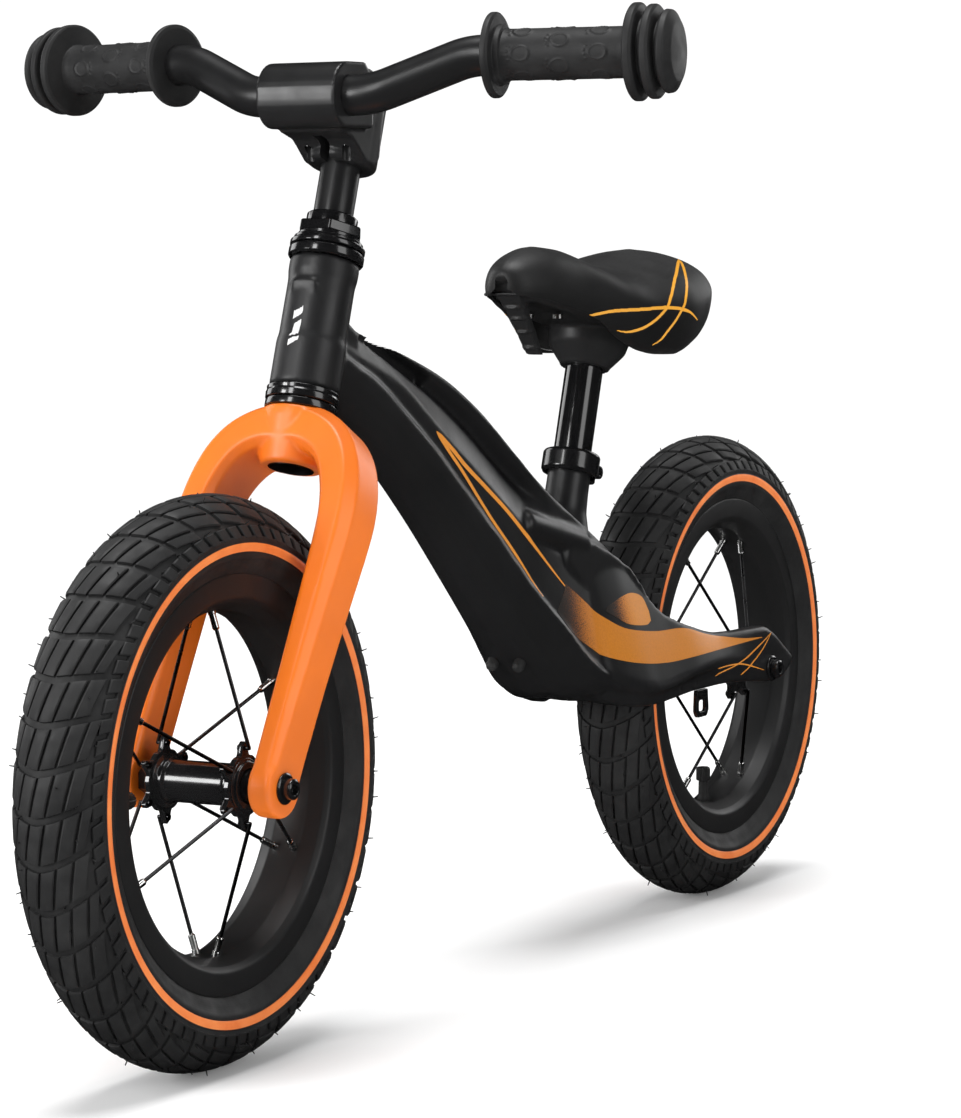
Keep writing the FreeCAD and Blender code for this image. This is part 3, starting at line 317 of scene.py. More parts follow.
BLACK = rgb(0.0125, 0.0125, 0.0132)
LOOKS = {
    "frame_paint": painted("frame_paint_look", BLACK, 0.4, grain=1500, grain_depth=0.00003, wear=0.18),
    "fork_paint": painted("fork_paint_look", rgb(0.95, 0.19, 0.01), 0.42, coat=0.2, coat_roughness=0.3,
                          wear=0.08, grain=1200, grain_depth=0.00002),
    "black_steel": painted("black_steel_look", rgb(0.008, 0.008, 0.0085), 0.2, coat=0.6, coat_roughness=0.06,
                           wear=0.5, grain=500, grain_depth=0.00002),
    "bar_paint": painted("bar_paint_look", rgb(0.011, 0.011, 0.0115), 0.34, grain=1700, wear=0.2),
    "stem_finish": painted("stem_finish_look", rgb(0.013, 0.013, 0.0135), 0.33, grain=1900, wear=0.3),
    "post_finish": painted("post_finish_look", rgb(0.008, 0.008, 0.0085), 0.17, coat=0.7, coat_roughness=0.05,
                           wear=0.3, grain=600, grain_depth=0.000015),
    "hub_finish": painted("hub_finish_look", rgb(0.012, 0.012, 0.0125), 0.2, coat=0.5, coat_roughness=0.08,
                          wear=0.5, grain=900, grain_depth=0.00002),
    "rim_finish": painted("rim_finish_look", rgb(0.014, 0.014, 0.0145), 0.44, grain=1600, wear=0.25),
    "spoke_finish": metal("spoke_finish_look", rgb(0.06, 0.06, 0.062), 0.3),
    "nipple_plate": metal("nipple_plate_look", rgb(0.72, 0.72, 0.71), 0.24),
    "bearing_steel": metal("bearing_steel_look", rgb(0.78, 0.78, 0.78), 0.12),
    "bare_steel": metal("bare_steel_look", rgb(0.5, 0.5, 0.49), 0.32, brushed=(0.2, 1, 1)),
    "tyre_rubber": tyre_material("tyre_rubber_look"),
    "tube_rubber": rubber("tube_rubber_look", rgb(0.02, 0.02, 0.02)),
    "grip_rubber": rubber("grip_rubber_look", rgb(0.014, 0.014, 0.0145), 0.56, dust=0.1),
    "valve_rubber": rubber("valve_rubber_look", rgb(0.014, 0.014, 0.014)),
    "cap_plastic": plastic("cap_plastic_look", rgb(0.014, 0.014, 0.014)),
    "saddle_skin": saddle_material("saddle_skin_look"),
    "saddle_plastic": plastic("saddle_plastic_look", rgb(0.016, 0.016, 0.0165), 0.42),
    "buffer_rubber": rubber("buffer_rubber_look", rgb(0.02, 0.02, 0.02)),
}
LINE_PRINT = print_material("line_print_look", rgb(0.78, 0.28, 0.025))
SADDLE_PRINT = print_material("saddle_print_look", rgb(0.93, 0.42, 0.03))
SWOOSH_PRINT = print_material("swoosh_print_look", rgb(0.56, 0.19, 0.012),
                              fade=(0.04, 0.1, rgb(0.32, 0.075, 0.006)))
PANEL_PRINT = print_material("panel_print_look", rgb(0.62, 0.22, 0.015),
                             fade=(0.098, 0.135, rgb(0.36, 0.085, 0.007)))


# ---------------------------------------------------------------- mesh building

def piece(name, verts, faces, body, slot, stands_for=(), look=None, sharp=32, place=None, millimetres=True):
    """A mesh piece in the row frame, or in the frame given by place, riding on a CAD body."""
    mesh = bpy.data.meshes.new(name)
    scale = MM if millimetres else 1.0
    points = np.asarray(verts, float) * scale
    mesh.from_pydata(points.tolist(), [], [list(map(int, face)) for face in faces])
    return finish_piece(name, mesh, body, slot, stands_for, look, sharp, place)


def finish_piece(name, mesh, body, slot, stands_for=(), look=None, sharp=32, place=None, flip=True):
    work = bmesh.new()
    work.from_mesh(mesh)
    bmesh.ops.remove_doubles(work, verts=work.verts, dist=1e-6)
    if flip:
        bmesh.ops.recalc_face_normals(work, faces=work.faces)
    work.to_mesh(mesh)
    work.free()
    mesh.materials.clear()
    mesh.materials.append(look or LOOKS[slot])
    mesh.shade_smooth()
    mesh.set_sharp_from_angle(angle=math.radians(sharp))
    thing = bpy.data.objects.new(name, mesh)
    SCENE.collection.objects.link(thing)
    if place is not None:
        matrix = place.copy()
        matrix.translation = matrix.translation * MM
        thing.matrix_world = matrix
    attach(thing, body)
    if stands_for:
        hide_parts(*stands_for)
    return thing


def rounded(corners, steps=5, closed=True):
    """Outline with corner (a, b, radius) turned into arcs."""
    points = []
    count = len(corners)
    for index, corner in enumerate(corners):
        here = np.array(corner[:2], float)
        radius = corner[2] if len(corner) > 2 else 0
        if not radius or (not closed and index in (0, count - 1)):
            points.append(here)
            continue
        back = np.array(corners[index - 1][:2], float) - here
        on = np.array(corners[(index + 1) % count][:2], float) - here
        long_back, long_on = np.linalg.norm(back), np.linalg.norm(on)
        back, on = back / long_back, on / long_on
        half = math.acos(max(-1, min(1, float(back @ on)))) / 2
        if half > math.pi / 2 - 0.02:
            points.append(here)
            continue
        reach = min(radius / math.tan(half), long_back * 0.48, long_on * 0.48)
        radius = reach * math.tan(half)
        middle = here + (back + on) / np.linalg.norm(back + on) * radius / math.sin(half)
        first, last = here + back * reach - middle, here + on * reach - middle
        turn = math.atan2(first[0] * last[1] - first[1] * last[0], float(first @ last))
        for step in range(steps + 1):
            angle = turn * step / steps
            spin = np.array([[math.cos(angle), -math.sin(angle)], [math.sin(angle), math.cos(angle)]])
            points.append(middle + spin @ first)
    return np.array(points)


def lathe(profile, segments=96, closed=True):
    """Turn (radius, height) points about Z. Open profiles start and end on the axis."""
    profile = np.asarray(profile, float)
    count = len(profile)
    angles = np.linspace(0, 2 * math.pi, segments, endpoint=False)
    verts = np.zeros((segments, count, 3))
    verts[:, :, 0] = profile[:, 0] * np.cos(angles)[:, None]
    verts[:, :, 1] = profile[:, 0] * np.sin(angles)[:, None]
    verts[:, :, 2] = profile[:, 1]
    faces = []
    last = count if closed else count - 1
    for i in range(segments):
        j = (i + 1) % segments
        for k in range(last):
            m = (k + 1) % count
            faces.append((i * count + k, j * count + k, j * count + m, i * count + m))
    return verts.reshape(-1, 3), faces


def clean_faces(verts, faces):
    """Drop corners that share a place, so that polar quads turn into triangles."""
    keys = [tuple(np.round(v, 5)) for v in np.asarray(verts)]
    kept = []
    for face in faces:
        ring = []
        for index in face:
            if not ring or keys[index] != keys[ring[-1]]:
                ring.append(index)
        if len(ring) > 1 and keys[ring[0]] == keys[ring[-1]]:
            ring.pop()
        if len(ring) > 2:
            kept.append(ring)
    return kept


def loft(rings, cap=True):
    """Skin through equal rings of 3-D points."""
    rings = [np.asarray(ring, float) for ring in rings]
    size = len(rings[0])
    faces = []
    for i in range(len(rings) - 1):
        for j in range(size):
            k = (j + 1) % size
            faces.append((i * size + j, i * size + k, (i + 1) * size + k, (i + 1) * size + j))
    if cap:
        faces.append(tuple(reversed(range(size))))
        faces.append(tuple(range((len(rings) - 1) * size, len(rings) * size)))
    return np.vstack(rings), faces


def prism(outline, low, high):
    """Outline (a, b) pulled from height low to high."""
    outline = np.asarray(outline, float)
    rings = [np.column_stack([outline, np.full(len(outline), height)]) for height in (low, high)]
    return loft(rings)


def merged(*parts):
    verts, faces, base = [], [], 0
    for part_verts, part_faces in parts:
        verts.append(np.asarray(part_verts, float))
        faces += [tuple(index + base for index in face) for face in part_faces]
        base += len(part_verts)
    return np.vstack(verts), faces


def moved(part, matrix):
    verts, faces = part
    spin = np.array(matrix.to_3x3())
    return np.asarray(verts) @ spin.T + np.array(matrix.translation), faces


def mirrored(part):
    verts, faces = part
    return np.asarray(verts) * [-1, 1, 1], [tuple(reversed(face)) for face in faces]


def spline(knots, samples):
    """Smooth curve through rows of numbers, evenly sampled by knot number."""
    knots = np.asarray(knots, float)
    count = len(knots)
    padded = np.vstack([2 * knots[0] - knots[1], knots, 2 * knots[-1] - knots[-2]])
    out = []
    for t in np.linspace(0, count - 1, samples):
        i = min(int(t), count - 2)
        u = t - i
        a, b, c, d = padded[i:i + 4]
        out.append(0.5 * (2 * b + (c - a) * u + (2 * a - 5 * b + 4 * c - d) * u ** 2
                          + (3 * b - a - 3 * c + d) * u ** 3))
    return np.array(out)


def by_y(table, y):
    """Values of a table of (y, a, b, ...) rows at y, smoothly between the rows."""
    table = np.asarray(table, float)
    y = min(max(y, table[0, 0]), table[-1, 0])
    i = min(int(np.searchsorted(table[:, 0], y, side="right")) - 1, len(table) - 2)
    i = max(i, 0)
    span = table[i + 1, 0] - table[i, 0]
    u = (y - table[i, 0]) / span

    def slope(k):
        if k == 0 or k == len(table) - 1:
            j = min(k, len(table) - 2)
            return (table[j + 1] - table[j]) / (table[j + 1, 0] - table[j, 0])
        left = (table[k] - table[k - 1]) / (table[k, 0] - table[k - 1, 0])
        right = (table[k + 1] - table[k]) / (table[k + 1, 0] - table[k, 0])
        return np.where(left * right > 0, 2 * left * right / np.where(left + right == 0, 1, left + right), 0)

    m0, m1 = slope(i) * span, slope(i + 1) * span
    u2, u3 = u * u, u * u * u
    row = ((2 * u3 - 3 * u2 + 1) * table[i] + (u3 - 2 * u2 + u) * m0
           + (-2 * u3 + 3 * u2) * table[i + 1] + (u3 - u2) * m1)
    return row[1:]


def tube(path, radius, sides=48):
    """Closed round tube along a path, with its ends capped."""
    path = np.asarray(path, float)
    tangents = np.gradient(path, axis=0)
    tangents /= np.linalg.norm(tangents, axis=1)[:, None]
    normal = np.cross(tangents[0], [0, 0, 1.0])
    if np.linalg.norm(normal) < 0.1:
        normal = np.cross(tangents[0], [0, 1.0, 0])
    angles = np.linspace(0, 2 * math.pi, sides, endpoint=False)
    rings = []
    for point, tangent in zip(path, tangents):
        normal = normal - tangent * (normal @ tangent)
        normal /= np.linalg.norm(normal)
        other = np.cross(tangent, normal)
        rings.append(point + radius * (np.cos(angles)[:, None] * normal + np.sin(angles)[:, None] * other))
    return loft(rings)


def working_object(name, part):
    verts, faces = part
    mesh = bpy.data.meshes.new(name)
    mesh.from_pydata((np.asarray(verts) * MM).tolist(), [], [list(map(int, face)) for face in faces])
    work = bmesh.new()
    work.from_mesh(mesh)
    bmesh.ops.remove_doubles(work, verts=work.verts, dist=1e-6)
    bmesh.ops.recalc_face_normals(work, faces=work.faces)
    work.to_mesh(mesh)
    work.free()
    thing = bpy.data.objects.new(name, mesh)
    SCENE.collection.objects.link(thing)
    return thing


def apply_all(thing):
    """Replace the object's mesh with what its modifiers make of it."""
    graph = bpy.context.evaluated_depsgraph_get()
    mesh = bpy.data.meshes.new_from_object(thing.evaluated_get(graph))
    thing.modifiers.clear()
    thing.data = mesh
    return mesh


def remeshed(thing, voxel, smooth=4, factor=0.5):
    modifier = thing.modifiers.new("voxels", "REMESH")
    modifier.mode = "VOXEL"
    modifier.voxel_size = voxel * MM
    soften = thing.modifiers.new("soften", "SMOOTH")
    soften.factor = factor
    soften.iterations = smooth
    return apply_all(thing)


def carved(thing, *parts):
    """Cut solids out of an object."""
    for index, part in enumerate(parts):
        tool = working_object("cutter_%d" % index, part)
        modifier = thing.modifiers.new("carve", "BOOLEAN")
        modifier.operation = "DIFFERENCE"
        modifier.solver = "MANIFOLD"
        modifier.object = tool
        apply_all(thing)
        bpy.data.objects.remove(tool)
    return thing.data


def taken(thing):
    """The mesh of a working object, once the object itself is gone."""
    mesh = thing.data
    bpy.data.objects.remove(thing)
    return mesh


def cylinder(radius, low, high, segments=64):
    return lathe_open([(0, low), (radius, low), (radius, high), (0, high)], segments)


def lathe_open(profile, segments=96):
    verts, faces = lathe(profile, segments, closed=False)
    return verts, clean_faces(verts, faces)


def hex_outline(flats, corner=1.2):
    radius = flats / math.sqrt(3)
    corners = [(radius * math.cos(math.radians(60 * k)), radius * math.sin(math.radians(60 * k)), corner)
               for k in range(6)]
    return rounded(corners, 3)


def chamfered_prism(outline, low, high, edge):
    """Prism whose top and bottom edges are broken by a small chamfer."""
    outline = np.asarray(outline, float)
    middle = outline.mean(axis=0)
    reach = np.linalg.norm(outline - middle, axis=1).mean()
    inner = middle + (outline - middle) * (1 - edge / reach)
    rings = []
    for points, height in ((inner, low), (outline, low + edge), (outline, high - edge), (inner, high)):
        rings.append(np.column_stack([points, np.full(len(points), height)]))
    return loft(rings)


def turned_piece(name, profile, place, body, slot, stands_for=(), segments=96, steps=4, closed=True,
                 sharp=32):
    points = rounded(profile, steps, closed)
    verts, faces = lathe(points, segments, closed)
    return piece(name, verts, clean_faces(verts, faces), body, slot, stands_for, sharp=sharp, place=place)


# ---------------------------------------------------------------- wheels

PITCHES = 40
TREAD_REACH = 72.0
TREAD_CENTRE = 122.0


def tread_point(turn, across, depth):
    """Point on the tread: turn round the axle in pitches, across in degrees, depth below the top."""
    bow = -0.55 * (abs(across) / TREAD_REACH) ** 1.5
    angle = (turn + bow) * 2 * math.pi / PITCHES
    lean = math.radians(across)
    height = (27.3 - depth * 0.9) * math.sin(lean)
    radius = TREAD_CENTRE + (30 - depth) * math.cos(lean)
    return radius * math.cos(angle), radius * math.sin(angle), height


def tread_block(turn, span, low, high, slant):
    """One raised block with broken edges, sunk a little into the carcass."""
    rows, columns = 5, 5
    inset_p, inset_q = 0.09, 0.09
    steps_p = [0, inset_p, 0.35, 0.65, 1 - inset_p, 1]
    steps_q = [0, inset_q, 0.35, 0.65, 1 - inset_q, 1]
    verts, faces = [], []
    for i, p in enumerate(steps_p):
        for j, q in enumerate(steps_q):
            border = i in (0, rows) or j in (0, columns)
            across = low + (high - low) * q + slant * (0.5 - p)
            verts.append(tread_point(turn + span * p, across, 0.5 if border else 0.0))
    wide = columns + 1
    for i in range(rows):
        for j in range(columns):
            a = i * wide + j
            faces.append((a, a + 1, a + wide + 1, a + wide))
    rim = [j for j in range(wide)] + [i * wide + columns for i in range(1, rows + 1)]
    rim += [rows * wide + j for j in range(columns - 1, -1, -1)] + [i * wide for i in range(rows - 1, 0, -1)]
    base = len(verts)
    for index in rim:
        i, j = divmod(index, wide)
        p = steps_p[i] + (-0.03 if i == 0 else 0.03 if i == rows else 0)
        q = steps_q[j] + (-0.03 if j == 0 else 0.03 if j == columns else 0)
        across = low + (high - low) * q + slant * (0.5 - p)
        verts.append(tread_point(turn + span * p, across, 3.0))
    count = len(rim)
    for k in range(count):
        m = (k + 1) % count
        faces.append((rim[m], rim[k], base + k, base + m))
    faces.append(tuple(base + k for k in range(count)))
    return verts, faces


def make_tread():
    """Every block of one tyre and its moulding nibs."""
    parts = []
    groove = 0.085
    slant = 9.0
    for pitch in range(PITCHES):
        shift = 0 if pitch % 2 else 0.5
        width = 19.0
        edges = [-58 + width * (k + shift) for k in range(-1, 7)]
        for low in edges:
            high = low + width - 3.1
            low, high = max(low, -58), min(high, 58)
            if high - low > 4:
                parts.append(tread_block(pitch + groove, 1 - 2 * groove, low, high, slant))
        for side in (-1, 1):
            for part in (0, 1):
                ends = sorted((side * 61.5, side * 76.0))
                parts.append(tread_block(pitch + groove + part * 0.5, 0.5 - 1.6 * groove, *ends, 0.0))
    chance = np.random.default_rng(12)
    for side in (-1, 1):
        for index in range(64):
            across = side * chance.choice([24.0, 44.0, 60.0, 60.0])
            turn = index * PITCHES / 64 + chance.uniform(-0.1, 0.1)
            root = np.array(tread_point(turn, across, 0.6))
            tip = np.array(tread_point(turn + chance.uniform(-0.05, 0.05), across, -chance.uniform(1.6, 3.4)))
            parts.append(nib(root, tip))
    return merged(*parts)


def nib(root, tip):
    way = (tip - root) / np.linalg.norm(tip - root)
    side = np.cross(way, [0, 0, 1.0])
    side /= np.linalg.norm(side)
    other = np.cross(way, side)
    rings = []
    for centre, radius in ((root - way, 0.45), (tip - way * 0.4, 0.3), (tip, 0.12)):
        angles = np.linspace(0, 2 * math.pi, 6, endpoint=False)
        rings.append(centre + radius * (np.cos(angles)[:, None] * side + np.sin(angles)[:, None] * other))
    return loft(rings)


def tyre_profile():
    """Closed outline of the carcass: sidewall bands, raised stripe and the tread's groove floor."""
    half = [(102, 16.6), (106.5, 17.4), (109.6, 18.3), (110.2, 19.1), (111.4, 19.6), (112.2, 20.4),
            (115.5, 22.6), (118.8, 24.2), (119.4, 24.9), (121.6, 25.3), (122.2, 25.2), (122.5, 25.7),
            (124.7, 26.1), (126.9, 26.2), (127.3, 25.7), (128.2, 25.8), (129.4, 26.2), (130.6, 26.0)]
    floor = []
    for across in np.linspace(-TREAD_REACH, TREAD_REACH, 41):
        x, _, height = tread_point(0.55 * (abs(across) / TREAD_REACH) ** 1.5, across, 1.9)
        floor.append((x, height))
    inner = [(131, 22.0), (142, 15.0), (147.8, 6.0), (147.8, -6.0), (142, -15.0), (131, -22.0),
             (118, -20.6), (108.5, -12.6), (102, -12.4)]
    outer = [(r, -h) for r, h in half] + floor + [(r, h) for r, h in reversed(half)]
    return outer + [(102, 12.4), (108.5, 12.6), (118, 20.6)] + inner


def star_outline(ears, root=16.3, tip=23.4, width=9.5, first=0.0, samples=240):
    """Flange outline with a rounded ear at each spoke pair."""
    points = []
    for index in range(samples):
        angle = 360 * index / samples
        gap = min(abs((angle - first - 360 * k / ears + 180) % 360 - 180) for k in range(ears))
        bump = math.exp(-(gap / width) ** 2.4)
        scallop = 0.9 * math.cos(math.radians(gap * 6))
        radius = root + (tip - root) * bump - scallop * (1 - bump) * 0.8
        points.append((radius * math.cos(math.radians(angle)), radius * math.sin(math.radians(angle))))
    return points


def knurled(radius, depth, ribs, low, high, per_rib=6):
    """Short grip cylinder with rounded ribs and a domed end."""
    rings = []
    for height, share, size in ((low, 0.0, 0.92), (low + 0.5, 1.0, 1.0), (high - 1.6, 1.0, 1.0),
                                (high - 0.7, 0.4, 0.94), (high, 0.0, 0.78)):
        count = ribs * per_rib
        angles = np.linspace(0, 2 * math.pi, count, endpoint=False)
        wave = radius * size - depth * share * (0.5 - 0.5 * np.cos(angles * ribs))
        rings.append(np.column_stack([wave * np.cos(angles), wave * np.sin(angles), np.full(count, height)]))
    return loft(rings)


def make_wheel(which, axle, valve_degrees):
    body = which + "_wheel"
    place = along_x(axle)
    verts, faces = lathe(np.array(tyre_profile()), 240)
    piece(which + "_tyre_carcass", verts, faces, body, "tyre_rubber", (which + "_tyre",), place=place,
          sharp=60)
    piece(which + "_tyre_tread", *make_tread(), body, "tyre_rubber", place=place, sharp=28)

    rim = [(111, -19.8, 1.2), (98, -19.8, 3.5), (95.2, -16.6, 4), (91, -9, 4), (91, 9, 4), (95.2, 16.6, 4),
           (98, 19.8, 3.5), (111, 19.8, 1.2), (111, 17.2, .4), (101, 17.2, 1), (99, 13.2, 1), (95, 10, 1),
           (95, -10, 1), (99, -13.2, 1), (101, -17.2, 1), (111, -17.2, .4)]
    turned_piece(which + "_rim_shell", rim, place, body, "rim_finish", (which + "_rim",), segments=220,
                 sharp=50)

    angles = [math.radians(valve_degrees + 30 + 60 * k) for k in range(6)]
    nipples = []
    for angle in angles:
        out = np.array([math.cos(angle), math.sin(angle), 0])
        for side in (-1, 1):
            hub = out * 19.8 + np.array([0, 0, side * 28.45])
            ring = out * 93 + np.array([0, 0, side * 5.5])
            way = (ring - hub) / np.linalg.norm(ring - hub)
            shape = rounded([(0, -3), (3.1, -3, .8), (3.1, -.6, .5), (2.15, 0.6, .4), (2.15, 4.4, .2),
                             (1.85, 4.8, .1), (1.95, 12, .5), (1.5, 12.9, .2), (0, 13)], 3, closed=False)
            nipples.append(moved(lathe_open(shape, 20), aimed(ring + way * 0.4, -way)))
    piece(which + "_spoke_nipples", *merged(*nipples), body, "nipple_plate", (which + "_nipples",),
          place=place)

    barrel = rounded([(6.6, -20.5), (9.6, -20.5), (9.6, -28.5), (12.9, -28.5, .7), (12.9, -26.6, .4),
                      (14.6, -26.4, .3), (14.6, -22.6, .6), (12.2, -21.6, .8), (12.2, -19.4, 1.2),
                      (11.3, -17.4, 1.4), (11.3, 17.4, 1.4), (12.2, 19.4, 1.2), (12.2, 21.6, .8),
                      (14.6, 22.6, .6),
                      (14.6, 26.4, .3), (12.9, 26.6, .4), (12.9, 28.5, .7), (9.6, 28.5), (9.6, 20.5),
                      (6.6, 20.5)], 4)
    parts = [lathe(barrel, 96)]
    for side in (-1, 1):
        star = star_outline(6, first=math.degrees(angles[0]))
        middle = side * 24.5
        parts.append(chamfered_prism(star, middle - 1.6, middle + 1.6, 0.5))
    piece(which + "_hub_body", *merged(*parts), body, "hub_finish", (which + "_hub_shell",), place=place)

    turn = math.radians(valve_degrees)
    out = np.array([math.cos(turn), math.sin(turn), 0])
    inward = aimed(out * 107.5, -out)
    stem = rounded([(0, 0), (3.9, 0, .5), (3.9, 18, .8), (3.3, 21, .6), (3.1, 29.8, .4), (0, 29.9)], 4,
                   closed=False)
    piece(which + "_valve_body", *moved(lathe_open(stem, 40), inward), body, "valve_rubber",
          (which + "_valve_stem",), place=place)
    cap = moved(knurled(4.7, 0.55, 16, 30.1, 39), inward)
    piece(which + "_valve_knurled_cap", *cap, body, "cap_plastic", (which + "_valve_cap",), place=place)


def make_axle_ends(which, axle, body):
    """Cup washers and socket-head bolts at both ends of an axle."""
    washers, bolts = [], []
    for side in (-1, 1):
        turn = along_x(np.zeros(3)) if side > 0 else Matrix.Rotation(math.pi, 4, "Y") @ along_x(np.zeros(3))
        ring = rounded([(3.4, 50.02), (8.4, 50.02, .3), (8.4, 50.9, .5), (7.3, 51.6, .4), (3.4, 51.6)], 3)
        washers.append(moved(lathe(ring, 64), turn))
        head = rounded([(3.0, 48.4), (3.1, 51.7, .2), (5.6, 51.7, .3), (5.6, 55.9, .8), (4.4, 56.6, .3),
                        (3.2, 56.6, .3), (2.9, 53.2, .1), (0, 53.0)], 4, closed=False)
        start = np.vstack([[0, 48.4], head])
        bolts.append(moved(lathe_open(start, 48), turn))
    place = Matrix.Translation(Vector(axle))
    piece(which + "_axle_cup_washers", *merged(*washers), body, "black_steel", (which + "_axle_washers",),
          place=place)
    piece(which + "_axle_socket_bolts", *merged(*bolts), body, "black_steel", (which + "_axle_bolts",),
          place=place)


make_wheel("front", FRONT_AXLE, -90)
make_wheel("rear", REAR_AXLE, 0)
make_axle_ends("front", FRONT_AXLE, "fork")
make_axle_ends("rear", REAR_AXLE, "frame")


# ---------------------------------------------------------------- frame casting

# Places along the bike with heights and half widths of the beam's leading lines.
BEAM_BOTTOM = [(-190, 350), (-127, 313), (-69, 269), (-12, 218), (20, 190), (40, 172), (60, 157.5), (80, 152),
               (118, 149)]
BEAM_LEDGE = [(-190, 378, 13), (-168, 367, 16), (-143, 355, 17.5), (-127, 344, 18.5), (-110, 332, 19.5),
              (-86, 315, 20.5), (-57, 292, 21.5), (-19, 262, 23), (18, 230, 25.5), (38, 213, 28.5),
              (55, 198, 32), (67, 186, 34.5), (80, 176, 37), (100, 167, 39), (118, 163, 41)]
BAND_TOP = [(-190, 385, 11), (-159, 371.5, 14), (-138, 364, 15), (-118, 355, 16.5), (-82, 331, 18),
            (-51, 311.5, 18.8), (-13, 287, 19.8), (22, 264, 21), (60, 246, 22.5), (90, 236, 23.5),
            (118, 226, 25)]
CREASE = [(-190, 390, 9), (-155, 381, 8.5), (-130, 371, 8), (-104, 360, 8), (-77, 349, 7.5), (-35, 327, 7.5),
          (0, 305, 8), (20, 292, 10), (33, 282, 17), (46, 271, 21.3), (60, 262, 22.6), (90, 249, 23.6),
          (118, 236, 24.6)]
BEAM_RIDGE = [(-190, 396, 11), (-165, 386.5, 12.5), (-137, 378, 13.5), (-113, 371.5, 14.5), (-67, 356, 15.8),
              (-29, 336.5, 17.2), (3, 314.5, 19), (35, 292, 21), (70, 272.5, 22.6), (104, 254, 23.6),
              (118, 246, 24)]

# One stay: inner edge, bottom edge and its height, lip and its height, top edge and its height.
STAY = [
    (72, 4, 18, 168, 24, 186, 16, 258),
    (85, 8, 24, 159, 31, 178, 19.5, 254),
    (97, 12, 30, 152, 39.5, 170.5, 22, 250),
    (118, 19, 36, 147, 45, 162, 25, 243.5),
    (133, 25, 40, 144.5, 47.3, 158, 27, 235),
    (146, 29.5, 41.5, 144, 48, 156, 30, 223.5),
    (160, 31.6, 43, 144.5, 48.6, 156.5, 34, 209.5),
    (172, 32.6, 44, 145.5, 49, 158, 37, 200.5),
    (199, 34.8, 45.5, 147.5, 50, 162, 42, 190),
    (237, 35.4, 47, 148, 50.2, 164, 45, 182),
    (270, 36, 49, 146.5, 50.2, 162, 48.5, 181),
    (292, 36.3, 50, 144, 50.3, 158, 50, 181),
    (308, 36.3, 50, 142.5, 50.3, 157, 50, 176),
    (322, 36.3, 50, 144, 50.3, 157, 49.8, 168),
    (334, 36.6, 49.5, 149, 50, 156, 49.5, 161),
    (340, 37.5, 48.5, 153, 49, 155, 48.5, 157.5),
]


def beam_part():
    """Belly, ledge, printed band, groove with a creased floor, and the rail on top."""
    rings = []
    for y in np.linspace(-190, 118, 110):
        bottom = by_y(BEAM_BOTTOM, y)[0]
        ledge, wide = by_y(BEAM_LEDGE, y)
        band, edge = by_y(BAND_TOP, y)
        crease, floor = by_y(CREASE, y)
        ridge, top = by_y(BEAM_RIDGE, y)
        belly, rail = ledge - bottom, ridge - crease
        half = [(0, bottom), (0.5 * wide, bottom + 0.07 * belly), (0.8 * wide, bottom + 0.3 * belly),
                (0.95 * wide, bottom + 0.64 * belly), (wide, ledge - 2), (wide - 0.4, ledge + 0.2),
                (wide - 2.4, ledge + 1.4), (wide - 3.2, ledge + 3.6), (edge + 0.2, band - 2.5),
                (edge - 1, band + 0.6),
                (floor + 0.35 * (edge - floor), crease - 0.25 * (crease - band)), (floor, crease),
                (floor + 0.72 * (top - floor), crease + 0.32 * rail), (top, crease + 0.55 * rail),
                (top, ridge - 0.2 * rail), (top * 0.86, ridge - 0.05 * rail), (top * 0.5, ridge + 0.6)]
        ring = half + [(0, ridge + 0.9)] + [(-x, z) for x, z in reversed(half[1:])]
        rings.append([(x, y, z) for x, z in ring])
    return loft(rings)


def stay_part():
    rings = []
    for y in np.linspace(72, 340, 70):
        inner, base, low, lip, lip_z, top, high = by_y(STAY, y)
        scoop = 4.2 * max(0.0, math.sin(math.pi * min(1, max(0, (y - 92) / 168)))) ** 0.8
        middle = (low + lip_z) / 2
        ring = [(inner, low + 2.5), (inner + 2.5, low), (base - 2.5, low), (base, low + 2),
                (base + (lip - base) * 0.4 - scoop * 0.7, middle - 1), (lip - scoop * 0.9, middle + 2.5),
                (lip - 0.6, lip_z - 2.2), (lip, lip_z), (lip - 0.4, lip_z + 2.4),
                (top + (lip - top) * 0.55, lip_z + (high - lip_z) * 0.45), (top, high - 2.5), (top - 2, high),
                (inner + 2.5, high - 0.5), (inner, high - 4)]
        rings.append([(x, y, z) for x, z in ring])
    return loft(rings)


def side_prism(outline, low, high):
    """Outline (y, z) pulled across the bike from x low to x high."""
    rings = [[(x, y, z) for y, z in outline] for x in (low, high)]
    return loft(rings)


def word_panel():
    """Blank raised panel behind the boss, leaning out towards the stay."""
    outline = rounded([(60, 243, 5), (72, 253, 7), (98, 249, 10), (122, 240, 10), (143, 230, 8),
                       (158, 216, 6),
                       (150, 211, 6), (126, 211, 10), (104, 214.5, 8), (82, 225, 8)], 5)
    return loft([[(0, y, z) for y, z in outline], [(25.2 + 0.035 * (y - 62), y, z) for y, z in outline]])


